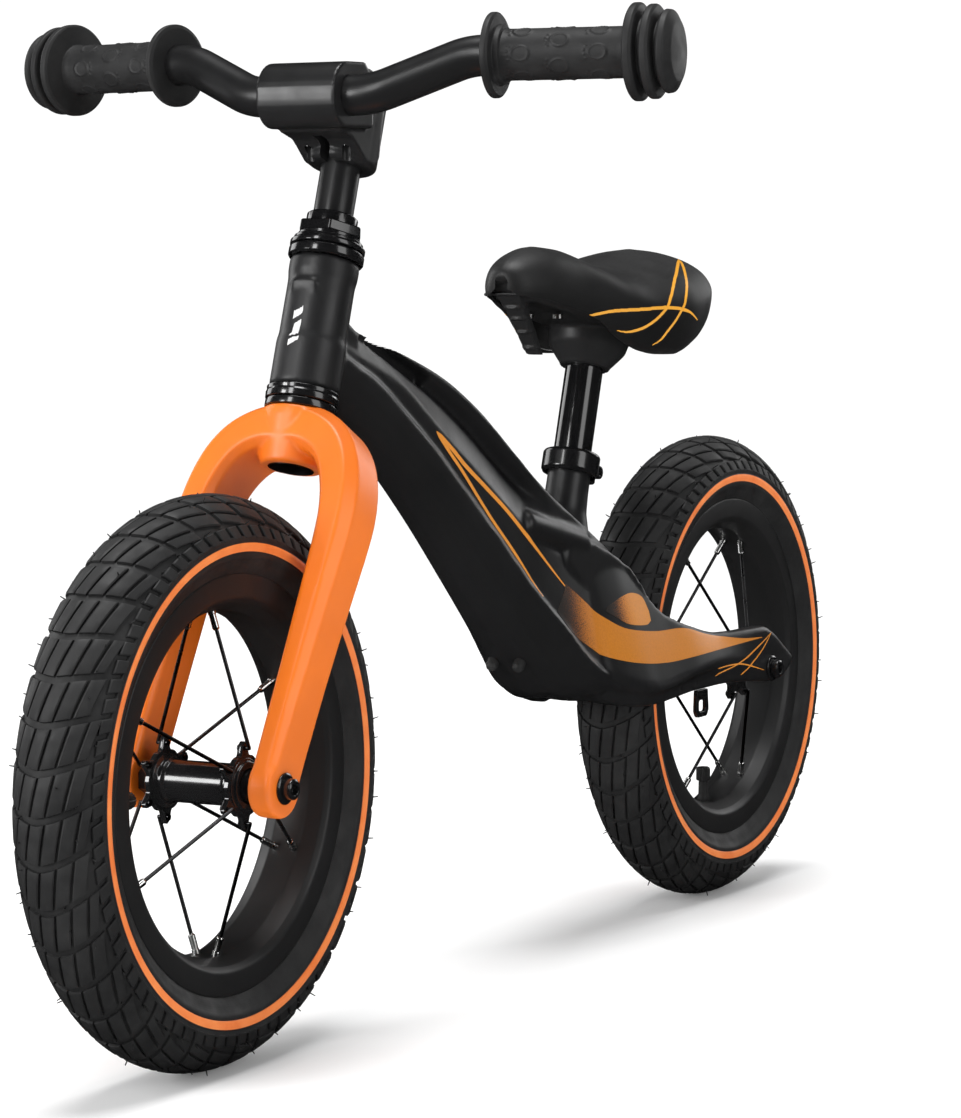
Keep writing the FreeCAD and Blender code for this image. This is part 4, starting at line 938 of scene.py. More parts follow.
def make_frame():
    left = stay_part()
    head_tube = rounded([(0, -44.4), (19.3, -44.4, .8), (19.3, -17.5, 1.2), (18.6, -15.5, 1),
                         (18.5, 17, 4), (19.2, 21, 4), (19.3, 29.6, .6), (0, 29.6)], 3, closed=False)
    seat_tube = rounded([(0, -102), (24, -102, 2), (23, -56, 9), (17, -42, 10), (14, -30, 8), (13.4, -18, 4),
                         (13.2, 7, .5), (0, 7)], 4, closed=False)
    gusset = loft([[(x * w, y, z) for x, z in ((-1, low), (1, low), (1, high), (-1, high))]
                   for y, low, high, w in ((-198, 356, 414, 8), (-184, 352, 400, 11),
                                           (-160, 340, 384, 12.5))])
    boss = moved(lathe_open(rounded([(0, -9), (8.6, -9, 6.5), (9.4, 30, 20), (9, 64), (0, 64)], 6,
                                    closed=False), 40),
                 aimed((16.2, 27, 264.5), (0.03, 1, -0.24)))
    panel = word_panel()
    parts = [beam_part(), left, mirrored(left), moved(lathe_open(head_tube, 72), HEAD_FRAME),
             moved(lathe_open(seat_tube, 72), SEAT_FRAME), gusset, boss, mirrored(boss), panel,
             mirrored(panel)]
    whole = working_object("frame_whole", merged(*parts))
    remeshed(whole, 1.5, smooth=1)
    tyre_room = lathe_open([(0, -33.5), (150, -33.5), (161, -24), (161, 24), (150, 33.5), (0, 33.5)], 160)
    front_pocket = rounded([(-152, 379, 2), (-128, 368, 6), (-104, 357.5, 6), (-84, 350), (-84, 357.5, 2),
                            (-104, 366, 6), (-128, 375.5, 6), (-148, 382, 1)], 3)
    slit = spline([(38, 70, 177), (42, 82, 171.5), (44.8, 97, 167.5), (48, 120, 162), (49.8, 145, 159),
                   (50.5, 168, 159.5), (51.5, 186, 163)], 40)
    carved(whole,
           side_prism(front_pocket, 3.5, 40), side_prism(front_pocket, -40, -3.5),
           side_prism(rounded([(64, 140, 3), (101, 120, 2), (101, 160, 5), (86, 165, 6), (64, 170, 5)], 3),
                      -12.5, 12.5),
           tube(slit, 2.5, 20), mirrored(tube(slit, 2.5, 20)),
           moved(tyre_room, along_x(REAR_AXLE)))
    remeshed(whole, 1.25, smooth=3)
    carved(whole,
           moved(cylinder(15.0, -60, 45), HEAD_FRAME),
           moved(cylinder(21.2, -62, -44.4), HEAD_FRAME),
           moved(cylinder(11.85, -98, 20), SEAT_FRAME),
           moved(cylinder(5.2, -60, 60, 32), along_x(REAR_AXLE)),
           moved(cylinder(9.1, 50.0, 60, 40), along_x(REAR_AXLE)),
           moved(cylinder(9.1, -60, -50.0, 40), along_x(REAR_AXLE)))
    return finish_piece("frame_cast_shell", taken(whole), "frame", "frame_paint",
                        ("frame_casting", "left_stay", "right_stay"), sharp=48, flip=False)


# ---------------------------------------------------------------- fork

# One fork leg in the fork's own frame: across, up, turn, thickness, depth, chamfer.
LEG = [
    (0, 43.1, 0, 13.8, 32, 4), (30, 43.3, 0, 14.6, 32.3, 4.6), (70, 43.9, 0, 16.4, 33, 5.4),
    (110, 44.8, 0, 18.6, 34.6, 6.2), (138, 45.4, 1, 20.2, 36.4, 6.8), (156, 44.8, 9, 21.2, 37.6, 7),
    (172, 41.6, 22, 22.4, 38, 7), (185, 36.2, 39, 23.6, 38, 7), (195, 28, 56, 24.4, 38, 7),
    (201, 17, 73, 25, 38, 7), (203, 6, 85, 25.2, 38, 7), (203.5, -6, 95, 25.2, 38, 7),
]


def leg_part():
    keys = np.array(LEG, float)
    rows = spline(keys, 90)
    rings = []
    for up, across, turn, thick, deep, corner in rows:
        turn = math.radians(turn)
        w, d = thick / 2, deep / 2
        section = [(w - corner * 0.8, -d), (w, -d + corner), (w, d - corner), (w - corner * 0.8, d),
                   (-w + corner * 0.5, d), (-w, d - corner * 0.7), (-w, -d + corner * 0.7),
                   (-w + corner * 0.5, -d)]
        rings.append([(across + a * math.cos(turn), b, up + a * math.sin(turn)) for a, b in section])
    return loft(rings)


def make_fork():
    leg = leg_part()
    foot = moved(lathe_open(rounded([(0, 36.2), (15.6, 36.2, 1.6), (16, 50.0, 2.2), (0, 50.0)], 3,
                                    closed=False), 64),
                 along_x(np.zeros(3)))
    crown = moved(lathe_open(rounded([(0, -88), (17.5, -88, 2), (19, -72, 3), (20, -62, 3),
                                      (19.6, -56.2, 1.2),
                                      (0, -56.2)], 4, closed=False), 72), FORK_FRAME.inverted() @ HEAD_FRAME)
    whole = working_object("fork_whole", merged(leg, mirrored(leg), foot, mirrored(foot), crown))
    remeshed(whole, 1.15, smooth=3)
    steer = FORK_FRAME.inverted() @ HEAD_FRAME
    carved(whole, moved(cylinder(12.75, -100, -40), steer),
           moved(cylinder(5.2, -60, 60, 32), along_x(np.zeros(3))),
           moved(cylinder(9.1, 50.0, 60, 40), along_x(np.zeros(3))),
           moved(cylinder(9.1, -60, -50.0, 40), along_x(np.zeros(3))))
    return finish_piece("fork_cast_shell", taken(whole), "fork", "fork_paint", ("fork_casting",), sharp=40,
                        place=FORK_FRAME, flip=False)


# ---------------------------------------------------------------- headset, stem and bar

def make_headset():
    low, top = -44.4, 29.6
    turned_piece("headset_lower_cup", [
        (13.5, low + 8, .2), (13.5, low - 2.2, .2), (17.1, low - 2.2, .2), (17.1, low - 7, .3),
        (20.2, low - 7, .6), (20.4, low - 3.5, .6), (19.9, low - 2.4, .5), (20.3, low - 0.2, .5),
        (19.4, low, .2), (14.9, low, .2), (14.9, low + 8, .2)],
        HEAD_FRAME, "frame", "black_steel", ("lower_headset_cup",))
    turned_piece("headset_upper_cup", [
        (13.5, top - 8, .2), (14.9, top - 8, .2), (14.9, top, .2), (20.2, top + 0.1, .5),
        (20.9, top + 1.2, .5),
        (20.9, top + 4.9, .6), (20.1, top + 6, .4), (17.5, top + 6, .2), (17.5, top + 1.6, .2),
        (13.5, top + 1.6, .2)],
        HEAD_FRAME, "frame", "black_steel", ("upper_headset_cup",))
    turned_piece("headset_crown_race", [
        (12.75, low - 11.6, .2), (19.9, low - 11.6, .5), (19.9, low - 7.5, .6), (16.7, low - 7.4, .3),
        (12.9, low - 5.6, .2), (12.75, low - 5.6, .1)], HEAD_FRAME, "fork", "black_steel", ("crown_race",))
    turned_piece("headset_upper_race", [
        (12.75, top + 5, .1), (13.0, top + 5, .1), (16.9, top + 6.5, .3), (20.8, top + 6.6, .6),
        (20.8, top + 9.2, .6), (19.2, top + 10.2, .5), (19.2, top + 12, .5), (12.75, top + 12, .2)],
        HEAD_FRAME, "fork", "black_steel", ("upper_race",))
    nut = chamfered_prism(hex_outline(33, 1.6), top + 14, top + 20, 0.7)
    neck = lathe_open(rounded([(0, top + 19), (14.2, top + 19), (14.2, top + 25.6, .8),
                               (13.2, top + 26.3, .3),
                               (0, top + 26.3)], 3, closed=False), 72)
    whole = working_object("nut_whole", nut)
    solid = working_object("neck_whole", neck)
    union = whole.modifiers.new("union", "BOOLEAN")
    union.operation, union.solver, union.object = "UNION", "MANIFOLD", solid
    apply_all(whole)
    bpy.data.objects.remove(solid)
    carved(whole, cylinder(12.75, top + 10, top + 30))
    finish_piece("headset_hex_locknut", taken(whole), "fork", "black_steel", ("headset_locknut",),
                 place=HEAD_FRAME, sharp=28)


def bent(points, radius, step=1.6):
    """Evenly sampled path through points, with an arc of that radius at every inner corner."""
    points = [np.asarray(point, float) for point in points]
    path = [points[0]]
    for before, corner, after in zip(points, points[1:], points[2:]):
        back = (before - corner) / np.linalg.norm(before - corner)
        on = (after - corner) / np.linalg.norm(after - corner)
        half = (math.pi - math.acos(float(back @ on))) / 2
        setback = radius * math.tan(half)
        middle = corner + (back + on) / np.linalg.norm(back + on) * radius / math.cos(half)
        first, last = corner + back * setback, corner + on * setback
        count = max(4, int(2 * half * radius / step))
        for k in range(count + 1):
            share = k / count
            arm = ((first - middle) * math.sin((1 - share) * 2 * half)
                   + (last - middle) * math.sin(share * 2 * half))
            path.append(middle + arm / math.sin(2 * half))
    path.append(points[-1])
    dense = []
    for a, b in zip(path, path[1:]):
        count = max(1, int(np.linalg.norm(b - a) / (2 * step)))
        dense += [a + (b - a) * k / count for k in range(count)]
    return np.array(dense + [path[-1]])


def bar_points():
    back, up = BAR_RISE
    end = back + (BAR_END - BAR_RISE_END) * BAR_SWEEP
    half = [(38, 0, 0), (BAR_RISE_END, back, up), (BAR_END, end, up)]
    left = [BAR + np.array(point) for point in half]
    right = [point * [-1, 1, 1] for point in reversed(left)]
    return right + left


GRIP_PROFILE = [(11.25, 0, .3), (20.8, 0, .6), (23, 0.8, .9), (23, 3.6, 1.2), (21.5, 4.8, .8), (16.2, 5.2, 1),
                (15.8, 8.2, .8), (14.0, 8.8, .5), (13.8, 12), (13.8, 74), (14.2, 78, 1), (24.6, 79.4, .8),
                (26, 80.4, .9), (26, 83.6, 1), (24.6, 84.8, .8), (19, 85.6, .5), (19, 88.2, .5),
                (23.8, 88.6, .6),
                (25, 89.4, .8), (25, 92.4, 1), (23.6, 93.6, .7), (17, 94.4, .5), (17, 96.4, .4),
                (21.2, 96.8, .5),
                (22.2, 98, .8), (21.8, 101, 1.6), (16, 104.2, 5), (0, 105)]


def oval_relief(angle, height):
    """Raised egg-shaped rings with four small dots beside each, in staggered rows."""
    relief = 0.0
    for row, centre in enumerate((20.0, 41.5, 63.0)):
        for k in range(6):
            middle = 2 * math.pi * (k + 0.5 * (row % 2)) / 6
            across = ((angle - middle + math.pi) % (2 * math.pi) - math.pi) * 13.8
            along = height - centre
            if abs(across) > 8 or abs(along) > 11:
                continue
            wide = 3.9 + 0.08 * along
            reach = math.hypot(across / wide, along / 5.0)
            relief += 0.42 * math.exp(-((reach - 1) / 0.14) ** 2)
            if reach < 1:
                relief += 0.16
            for dot in (-1.5, -0.5, 0.5, 1.5):
                spot = math.hypot(across - dot * 2.3, along + 7.6 - abs(dot) * 0.9)
                relief += 0.4 * math.exp(-(spot / 0.6) ** 2)
    return relief


def make_grips():
    outline = rounded(GRIP_PROFILE, 4, closed=False)
    dense = [outline[0]]
    for a, b in zip(outline, outline[1:]):
        count = max(1, int(np.linalg.norm(b - a) / 0.55)) if a[1] >= 11.9 and b[1] <= 74.1 else 1
        dense += [a + (b - a) * k / count for k in range(1, count + 1)]
    profile = np.array(dense + [np.array([0, 101.8]), np.array([11.25, 101.8])])
    sides = 224
    verts, faces = lathe(profile, sides, closed=True)
    verts = verts.reshape(sides, len(profile), 3)
    for i in range(sides):
        angle = 2 * math.pi * i / sides
        for k, (radius, height) in enumerate(profile):
            if radius > 12 and 11.9 < height < 74.1:
                grown = radius + oval_relief(angle, height)
                verts[i, k, :2] = grown * math.cos(angle), grown * math.sin(angle)
    verts = verts.reshape(-1, 3)
    faces = clean_faces(verts, faces)
    back, up = BAR_RISE
    start = back + (GRIP_START - BAR_RISE_END) * BAR_SWEEP
    for side, word in ((1, "left"), (-1, "right")):
        base = BAR + np.array([side * GRIP_START, start, up])
        piece(word + "_grip_rubber", verts, faces, "bar", "grip_rubber", (word + "_grip",),
              place=aimed(base, (side, BAR_SWEEP, 0)), sharp=50)


def make_stem():
    to_bar = Matrix.Translation(-Vector(BAR))
    barrel = rounded([(-18.8, -17.5, 15), (-18.8, 18.2, 17), (16, 18.4, 3), (24, 10, 3), (24, -17.5, 3)], 8)
    block = rounded([(-3, 15.5), (30, 15.5, 9), (42, 9, 7), (44, -6, 10), (38, -36, 5), (24, -36, 6),
                     (10, -23, 8), (-3, -19)], 5)
    quill = to_bar @ HEAD_FRAME
    back = lathe_open(rounded([(0, 84), (19.5, 84, 3), (19.5, 132, 5), (0, 132)], 6, closed=False), 96)
    whole = working_object("stem_whole", merged(side_prism(barrel, -24.6, 24.6),
                                                side_prism(block, -19.5, 19.5),
                                                moved(back, quill)))
    remeshed(whole, 0.8, smooth=3)
    carved(whole,
           moved(cylinder(11.2, -40, 40), along_x(np.zeros(3))),
           side_prism([(4, -12), (17, -12), (28, -44), (4, -44)], -3, 3),
           moved(cylinder(11.3, 55, 117), quill),
           moved(cylinder(4.4, 110, 150, 40), quill),
           moved(cylinder(7.4, 126, 170, 48), quill),
           *[moved(cylinder(2.7, -42, -8, 24), Matrix.Translation((x, 16, 0))) for x in (-12, 12)])
    finish_piece("stem_clamp_block", taken(whole), "stem", "stem_finish", ("stem_clamp",), sharp=38,
                 place=Matrix.Translation(Vector(BAR)), flip=False)
    turned_piece("quill_shaft", [(8.5, -10, .3), (11.1, -10, .5), (11.1, 117, .5), (8.5, 117, .3)],
                 HEAD_FRAME,
                 "stem", "bar_paint", ("quill_tube",), segments=64)
    head = rounded([(0, -34), (4, -34, .4), (4, 126.3, .3), (6.8, 126.3, .4), (6.8, 132.8, .8),
                    (3.4, 133, .3),
                    (3.0, 129.2, .2), (0, 129)], 3, closed=False)
    piece("quill_expander_bolt", *lathe_open(head, 48), "stem", "black_steel", ("quill_bolt",),
          place=HEAD_FRAME)


def make_bar():
    path = bent(bar_points(), 40)
    piece("handlebar_tube", *tube(path, 11.1, 56), "bar", "bar_paint", ("handlebar",), sharp=60)


# ---------------------------------------------------------------- seat post and saddle

# Saddle stations: place along the bike, half width, lowest edge, top and underside.
SADDLE = [
    (27, 5, 405, 415, 410.5), (29, 9.8, 402, 418, 409.5), (34, 14.7, 400.5, 421.8, 408),
    (42, 18.8, 399.5, 425.2, 407),
    (52, 22.5, 398, 428, 405), (64, 26, 394.5, 430, 402), (80, 30.5, 390.5, 429, 399),
    (98, 37.5, 384, 424.5, 394),
    (118, 45.4, 373, 418.8, 390), (136, 50.6, 365.8, 418.6, 389), (154, 55, 363, 422, 391),
    (175, 57.6, 362.5, 426, 392), (195, 56.3, 367.5, 427.6, 395), (213, 50, 374.5, 426, 398),
    (226, 41, 382.5, 421.5, 401), (235, 28, 392, 416, 403.5), (239, 16, 401, 412.5, 405.5),
    (240.5, 7, 405, 410.5, 407),
]
# One side of the cover from its top to its lower edge, at the nose and at the rear lobes:
# shares of the half width, and of the height down from the top.
NOSE_SIDE = [(0, 0), (0.3, 0.035), (0.58, 0.13), (0.79, 0.27), (0.93, 0.46), (1, 0.68), (0.99, 0.86),
             (0.955, 0.94),
             (0.92, 1)]
LOBE_SIDE = [(0, 0), (0.3, 0.035), (0.6, 0.12), (0.84, 0.25), (0.97, 0.4), (1, 0.54), (0.95, 0.76),
             (0.84, 0.93),
             (0.73, 1)]


def lobe_share(y):
    """0 at the nose, 1 at the rear lobes, whose lower edge tucks in."""
    share = min(1.0, max(0.0, (y - 78) / 46))
    return share * share * (3 - 2 * share)


def rim_share(y):
    return NOSE_SIDE[-1][0] + (LOBE_SIDE[-1][0] - NOSE_SIDE[-1][0]) * lobe_share(y)


def saddle_cover_part():
    rings = []
    for y in np.concatenate([np.linspace(27, 35, 8), np.linspace(37, 229, 70), np.linspace(231, 240.5, 9)]):
        half, edge, top, under = by_y(SADDLE, y)
        tall = top - edge
        lip = min(tall * 0.25, 4.0)
        rim = rim_share(y)
        side = np.array(NOSE_SIDE) * (1 - lobe_share(y)) + np.array(LOBE_SIDE) * lobe_share(y)
        right = [(half * across, top - tall * down) for across, down in side]
        right += [((rim - 0.04) * half, edge + 0.2), ((rim - 0.06) * half, edge + lip * 0.7),
                  ((rim - 0.1) * half, min(edge + lip * 2.4, under)), (0.5 * half, under), (0, under)]
        loop = right + [(-x, z) for x, z in reversed(right[1:-1])]
        knots = np.array(loop + [loop[0]])
        smooth = spline(knots, 4 * (len(knots) - 1) + 1)[:-1]
        rings.append([(x, y, z) for x, z in smooth])
    return loft(rings)


def saddle_hook():
    """Ribbed fin that runs down and back from under the nose."""
    front = spline([(32, 410, 9), (35, 401.5, 8.2), (42.5, 392, 6.4), (53, 380, 5.2), (65.5, 365, 4.7)], 26)
    back = spline([(41, 411, 9), (44.5, 402.5, 8), (51, 393, 6.2), (60.5, 380.5, 5), (72.5, 364.5, 4.5)], 26)
    rings = [[(-w, y, z), (w, y, z), (v, b, c), (-v, b, c)] for (y, z, w), (b, c, v) in zip(front, back)]
    ribs = [tube(spline([(-w - 0.4, y + 3, z), (-w * 0.6, y - 0.5, z - 0.8), (w * 0.6, y - 0.5, z - 0.8),
                         (w + 0.4, y + 3, z)], 14), 0.9, 12)
            for y, z, w in front[[11, 15, 19, 23]]]
    return merged(loft(rings), *ribs)


def make_saddle():
    cover = piece("saddle_skin_cover", *saddle_cover_part(), "seat", "saddle_skin", ("saddle_cover",),
                  sharp=70)

    shell = []
    for y, half, _, _, under in SADDLE[3:-3]:
        wide = half * (rim_share(y) - 0.18)
        shell.append([(-wide, y, under - 1.4), (wide, y, under - 1.4), (wide * 0.96, y, under - 6),
                      (wide * 0.8, y, under - 8.5), (-wide * 0.8, y, under - 8.5),
                      (-wide * 0.96, y, under - 6)])
    shroud = lathe_open(rounded([(0, 61.5), (15.4, 61.5, .5), (16, 63.4, .6), (18.2, 66, 2), (24, 73.5, 6),
                                 (26.3, 83, 8), (25, 93, 9), (12, 98, 4), (0, 98)], 6, closed=False), 72)
    skirt = loft([[(x * w, y, z) for x, z in ((-1, low), (1, low), (1.25, low + 14), (-1.25, low + 14))]
                  for y, low, w in ((138, 367, 18), (150, 367, 22), (164, 370.5, 22), (190, 384, 15))])
    whole = working_object("base_whole", merged(loft(shell), moved(shroud, SEAT_FRAME), skirt, saddle_hook()))
    remeshed(whole, 0.95, smooth=3)
    carved(whole, moved(cylinder(11.85, 50, 84.4), SEAT_FRAME))
    finish_piece("saddle_underside_shell", taken(whole), "seat", "saddle_plastic", ("saddle_base",), sharp=42,
                 flip=False)
    rim = [((rim_share(y) - 0.052) * half * side, y, edge + 1.4) for side,
           rows in ((1, SADDLE[2:-2]), (-1, SADDLE[-3:1:-1]))
           for y, half, edge, _, _ in rows]
    piece("saddle_rim_bead", *tube(spline(rim + rim[:1], 220), 1.0, 12), "seat", "saddle_plastic", sharp=60)
    turned_piece("seat_post_tube", [(9.95, -60, .3), (11.75, -60, .6), (11.75, 84, .5), (9.95, 84, .3)],
                 SEAT_FRAME,
                 "seat", "post_finish", ("seat_post",), segments=72)
    return cover


def make_collar():
    ring = lathe(rounded([(13.4, -7, .3), (17, -7, .6), (17, -5.6, .3), (17.8, -5.2, .5), (17.8, 5.4, .9),
                          (16.6, 7, .6), (13.4, 7, .3)], 4), 96)
    ears = chamfered_prism(rounded([(-6.5, 14.1), (6.5, 14.1), (6.5, 25.4, 3.5), (-6.5, 25.4, 3.5)], 5), -7,
                           7, 0.8)
    whole = working_object("collar_whole", merged(ring, ears))
    remeshed(whole, 0.5, smooth=3)
    along = along_x(np.zeros(3))
    carved(whole, prism([(-1.1, 10), (1.1, 10), (1.1, 30), (-1.1, 30)], -12, 12),
           moved(cylinder(2.7, -20, 20, 32), Matrix.Translation((0, 20.4, 0)) @ along))
    finish_piece("seat_clamp_ring", taken(whole), "frame", "black_steel", ("seat_collar",), sharp=40,
                 place=SEAT_FRAME, flip=False)
    bolt = rounded([(0, -8.4), (2.5, -8.4, .4), (2.5, 7.1), (4.2, 7.1, .3), (4.2, 10.6, .7), (2.2, 10.7, .2),
                    (2.0, 8.8, .1), (0, 8.7)], 3, closed=False)
    piece("seat_clamp_bolt", *lathe_open(bolt, 36), "frame", "black_steel", ("seat_collar_bolt",),
          place=SEAT_FRAME @ Matrix.Translation((0, 20.4, 0)) @ along)


# ---------------------------------------------------------------- small fittings

def make_fittings():
    outer = rounded([(203, 147.5, 1), (201.8, 134, 3), (204.5, 130, 3), (217.5, 130, 3), (220.2, 134, 3),
                     (219, 147.5, 1)], 6)
    whole = working_object("tab_whole", side_prism(outer, 41.2, 43.8))
    slot = rounded([(206, 133.5, 2), (216, 133.5, 2), (216, 141, 2), (206, 141, 2)], 5)
    carved(whole, side_prism(slot, 30, 60))
    soften = whole.modifiers.new("edge", "BEVEL")
    soften.width, soften.segments, soften.limit_method, soften.angle_limit = 0.5 * MM, 3, "ANGLE", 0.6
    apply_all(whole)
    finish_piece("strap_tab_plate", taken(whole), "frame", "black_steel", ("stay_tab",), sharp=40)

    parts = []
    for side in (-1, 1):
        knob = rounded([(0, -1.5), (3.6, -1.5, .5), (3.6, 3.4, .9), (2.4, 5.5, .8), (0, 5.5)], 4,
                       closed=False)
        place = Matrix.Translation((side * 9, 30, 181.4)) @ Matrix.Rotation(math.radians(180 - 41), 4, "X")
        parts.append(moved(lathe_open(knob, 40), place))
    piece("underframe_rubber_buffers", *merged(*parts), "frame", "buffer_rubber", ("underframe_buffers",))


# ---------------------------------------------------------------- printed graphics

def nearest_on(thing):
    """Function that drops a point in millimetres onto the thing's surface."""
    graph = bpy.context.evaluated_depsgraph_get()
    tree = BVHTree.FromObject(thing, graph)
    place = thing.matrix_world
    inverse = place.inverted()

    def drop(point):
        hit, normal, _, _ = tree.find_nearest(inverse @ (Vector(point) * MM))
        return np.array(place @ hit) / MM, np.array((place.to_3x3() @ normal).normalized())

    return drop


def film(name, rows, drop, body, slot, look, rise=0.16, sink=0.3):
    """Thin closed film over rows of points, laid on the surface."""
    rings = []
    for row in rows:
        laid = [drop(point) for point in row]
        top = [point + normal * rise for point, normal in laid]
        low = [point - normal * sink for point, normal in laid]
        rings.append(top + low[::-1])
    return piece(name, *loft(rings), body, slot, look=look, sharp=50)


def stripe_rows(path, width, drop, samples=70, thin=0.3, wide_start=0.0):
    """Rows across a stripe of even width that follows a path over the surface."""
    laid = [drop(point) for point in spline(path, samples)]
    line = np.array([point for point, _ in laid])
    ways = np.gradient(line, axis=0)
    ways /= np.linalg.norm(ways, axis=1)[:, None]
    rows = []
    for share, (point, normal), way in zip(np.linspace(0, 1, samples), laid, ways):
        side = np.cross(normal, way)
        side /= np.linalg.norm(side)
        half = width / 2 * min(1.0, thin + (1 - share) / 0.3, thin + share / 0.06 + wide_start)
        rows.append([point + side * half * t for t in (-1, 0, 1)])
    return rows


def between_rows(upper, lower, samples=60, across=14):
    top, low = spline(upper, samples), spline(lower, samples)
    return [[a + (b - a) * t for t in np.linspace(0, 1, across)] for a, b in zip(top, low)]


BRANCH_LINES = [
    [(18, -84, 326), (18.5, -66, 314.5), (19, -51, 304), (19.5, -28, 290), (20.4, -2, 273.5), (22, 28, 251),
     (25.3, 58, 226)],
    [(18, -84, 326), (18.3, -69, 313), (18.7, -54, 300.5), (19.6, -24.5, 273.5), (21.2, 5, 248),
     (24.7, 31.5, 222)],
]
SWOOSH_TOP = [(25.2, 60, 227), (27.8, 83, 213), (32.3, 97, 203.5), (37, 118, 195), (39, 153, 190.2),
              (41, 188, 189),
              (43.4, 215, 183), (45, 236, 179.3), (48, 262, 175.6), (49.5, 288, 174)]
SWOOSH_LOW = [(27, 45, 212), (30, 60, 197), (33, 80, 186), (38, 98, 178.4), (43, 126, 173), (45, 158, 170.3),
              (47, 190, 170.6), (47.8, 228, 171.7), (49, 262, 172.8), (49.8, 288, 173.6)]
CORNER_TOP = [(31.5, 101, 209.5), (32, 119, 214), (31.6, 134, 215.5), (32.5, 147, 212), (35, 151.5, 203)]
CORNER_LOW = [(32.4, 99, 207.5), (34, 107, 203.6), (36.7, 122, 197.4), (37.4, 143, 195), (37, 151, 197)]
CROSSED_LINES = [[(50, 224, 159), (50, 240, 160), (50, 260, 159), (50, 291, 152)],
                 [(50, 224, 154), (50, 248, 159), (50, 272, 165), (50, 304, 176)],
                 [(50, 258, 152), (50, 272, 158), (50, 287, 165), (50, 302, 175)]]
SADDLE_LINES = [[(29.5, 84.6, 387.6), (34.3, 97.9, 390.8), (39.6, 112.8, 391.5), (44, 125.4, 391.6),
                 (51, 148.7, 391.6), (55.4, 165.4, 389.2), (57.7, 179, 383)],
                [(31.7, 202.8, 421), (45.1, 167.3, 407.7), (49.7, 144.5, 392), (49.3, 135.4, 385.2),
                 (47.5, 129.1, 381.2), (45.2, 123.1, 378), (41.5, 115.8, 375.5), (37.2, 108, 375.4)],
                [(31.7, 202.8, 421), (47.5, 177.3, 407.6), (53.4, 159.4, 391.3), (54.3, 152.4, 383.2),
                 (53.7, 146.9, 376.4), (51.6, 143.4, 369.3), (48.4, 139, 365)]]


def make_graphics(shell, cover):
    drop = nearest_on(shell)
    for side, sign in (("left", 1), ("right", -1)):
        def turn(path):
            return [(sign * x, y, z) for x, y, z in path]

        for index, (path, width) in enumerate(zip(BRANCH_LINES, (2.6, 2.2))):
            film("%s_branch_line_%d" % (side, index + 1), stripe_rows(turn(path), width, drop), drop, "frame",
                 "frame_paint", LINE_PRINT)
        film(side + "_swoosh_film", between_rows(turn(SWOOSH_TOP), turn(SWOOSH_LOW)), drop, "frame",
             "frame_paint",
             SWOOSH_PRINT)
        film(side + "_corner_film", between_rows(turn(CORNER_TOP), turn(CORNER_LOW), 30), drop, "frame",
             "frame_paint", PANEL_PRINT)
        for index, path in enumerate(CROSSED_LINES):
            film("%s_crossed_line_%d" % (side, index + 1), stripe_rows(turn(path), 0.9, drop, 40), drop,
                 "frame",
                 "frame_paint", LINE_PRINT)
    badge = print_material("badge_print_look", rgb(0.82, 0.82, 0.82))
    for index, low in enumerate((389, 397, 405)):
        rows = [[(x, -235, low + 0.25 * x + lift) for lift in (0, 2.2, 4.4)] for x in np.linspace(-7, 7, 12)]
        film("head_badge_bar_%d" % (index + 1), rows, drop, "frame", "frame_paint", badge)

    drop = nearest_on(cover)
    for side, sign in (("left", 1), ("right", -1)):
        for index, path in enumerate(SADDLE_LINES):
            path = [(sign * x, y, z) for x, y, z in path]
            film("%s_saddle_line_%d" % (side, index + 1), stripe_rows(path, 2.0, drop, 80), drop, "seat",
                 "saddle_skin", SADDLE_PRINT)


frame_shell = make_frame()
make_fork()
make_headset()
make_stem()
make_bar()
make_grips()
saddle_cover = make_saddle()
make_collar()
make_fittings()
make_graphics(frame_shell, saddle_cover)


# ---------------------------------------------------------------- floor, light and world

def make_stage():
    size = 12
    mesh = bpy.data.meshes.new("floor")
    mesh.from_pydata([(-size, -size, 0), (size, -size, 0), (size, size, 0), (-size, size, 0)], [],
                     [(0, 1, 2, 3)])
    floor = bpy.data.objects.new("floor", mesh)
    SCENE.collection.objects.link(floor)
    n = Nodes("floor_look")
    n.set(Base_Color=n.mix(n.remap(n.noise(3, 3), 0.3, 0.7), rgb(0.91, 0.91, 0.91), rgb(0.93, 0.93, 0.93)))
    n.set(Roughness=0.8, Specular_IOR_Level=0.1, Emission_Color=rgb(1, 1, 1), Emission_Strength=0.1)
    mesh.materials.append(n.material)
    floor.visible_glossy = False


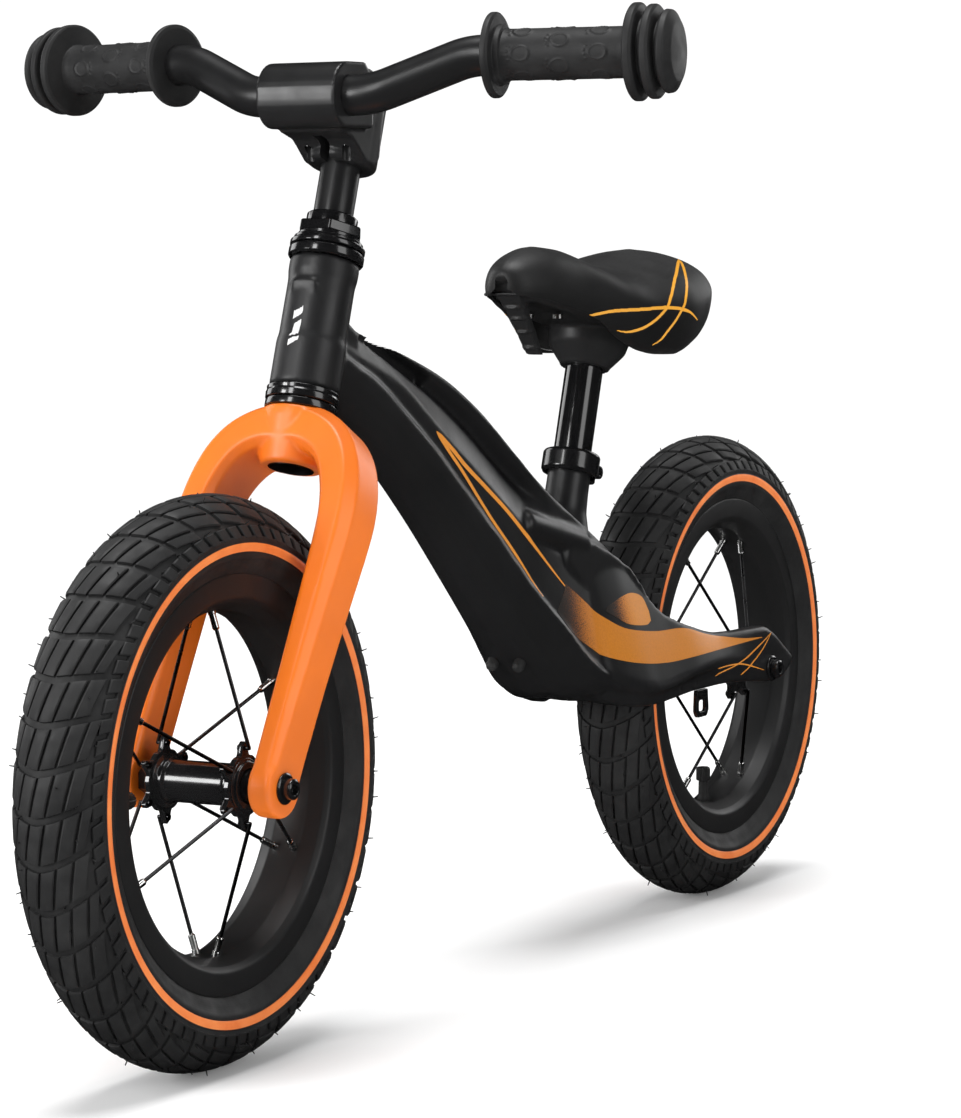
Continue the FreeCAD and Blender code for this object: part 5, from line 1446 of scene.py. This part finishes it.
def make_world():
    """White behind everything, with a dimmer sky doing the lighting."""
    world = bpy.data.worlds.new("studio")
    SCENE.world = world
    world.use_nodes = True
    tree = world.node_tree
    sky = tree.nodes["Background"]
    sky.inputs["Color"].default_value = rgb(1, 1, 1)
    sky.inputs["Strength"].default_value = 0.25
    paper = tree.nodes.new("ShaderNodeBackground")
    paper.inputs["Color"].default_value = rgb(1, 1, 1)
    paper.inputs["Strength"].default_value = 1.05
    seen = tree.nodes.new("ShaderNodeLightPath")
    mix = tree.nodes.new("ShaderNodeMixShader")
    tree.links.new(seen.outputs["Is Camera Ray"], mix.inputs[0])
    tree.links.new(sky.outputs[0], mix.inputs[1])
    tree.links.new(paper.outputs[0], mix.inputs[2])
    tree.links.new(mix.outputs[0], tree.nodes["World Output"].inputs["Surface"])
    world.cycles_visibility.glossy = False
    SCENE.view_settings.view_transform = "Standard"


def add_light(kind, name, place, target, power, **settings):
    data = bpy.data.lights.new(name, kind)
    data.energy = power
    for key, value in settings.items():
        setattr(data, key, value)
    light = bpy.data.objects.new(name, data)
    SCENE.collection.objects.link(light)
    light.location = place
    light.rotation_mode = "QUATERNION"
    light.rotation_quaternion = (Vector(target) - Vector(place)).to_track_quat("-Z", "Y")


def softbox(name, place, target, size, power):
    add_light("AREA", name, place, target, power, shape="RECTANGLE", size=size[0], size_y=size[1])


make_stage()
make_world()
add_light("SUN", "overhead", (0.05, 0.1, 3), (0, 0, 0), 2.6, angle=math.radians(35))
softbox("front", (-0.25, -2.1, 1.25), (0, 0, 0.35), (0.45, 1.0), 12)
softbox("front_low", (-1.05, -1.9, 0.78), (0, -0.15, 0.45), (0.5, 0.7), 16)
softbox("right", (2.0, -0.4, 0.9), (0, 0, 0.25), (0.9, 1.3), 9)
softbox("left", (-2.0, 0.1, 0.9), (0, 0, 0.25), (0.9, 1.3), 9)
softbox("behind", (0.5, 2.2, 1.0), (0, 0, 0.3), (0.8, 1.2), 8)

# ---------------------------------------------------------------- carried-over CAD nodes

SLOT_OF = {part["node"]: part["material_slot"] for part in frame["record"]["subparts"]}
for node, thing in frame["nodes"].items():
    thing.data.materials.clear()
    thing.data.materials.append(LOOKS[SLOT_OF[node]])
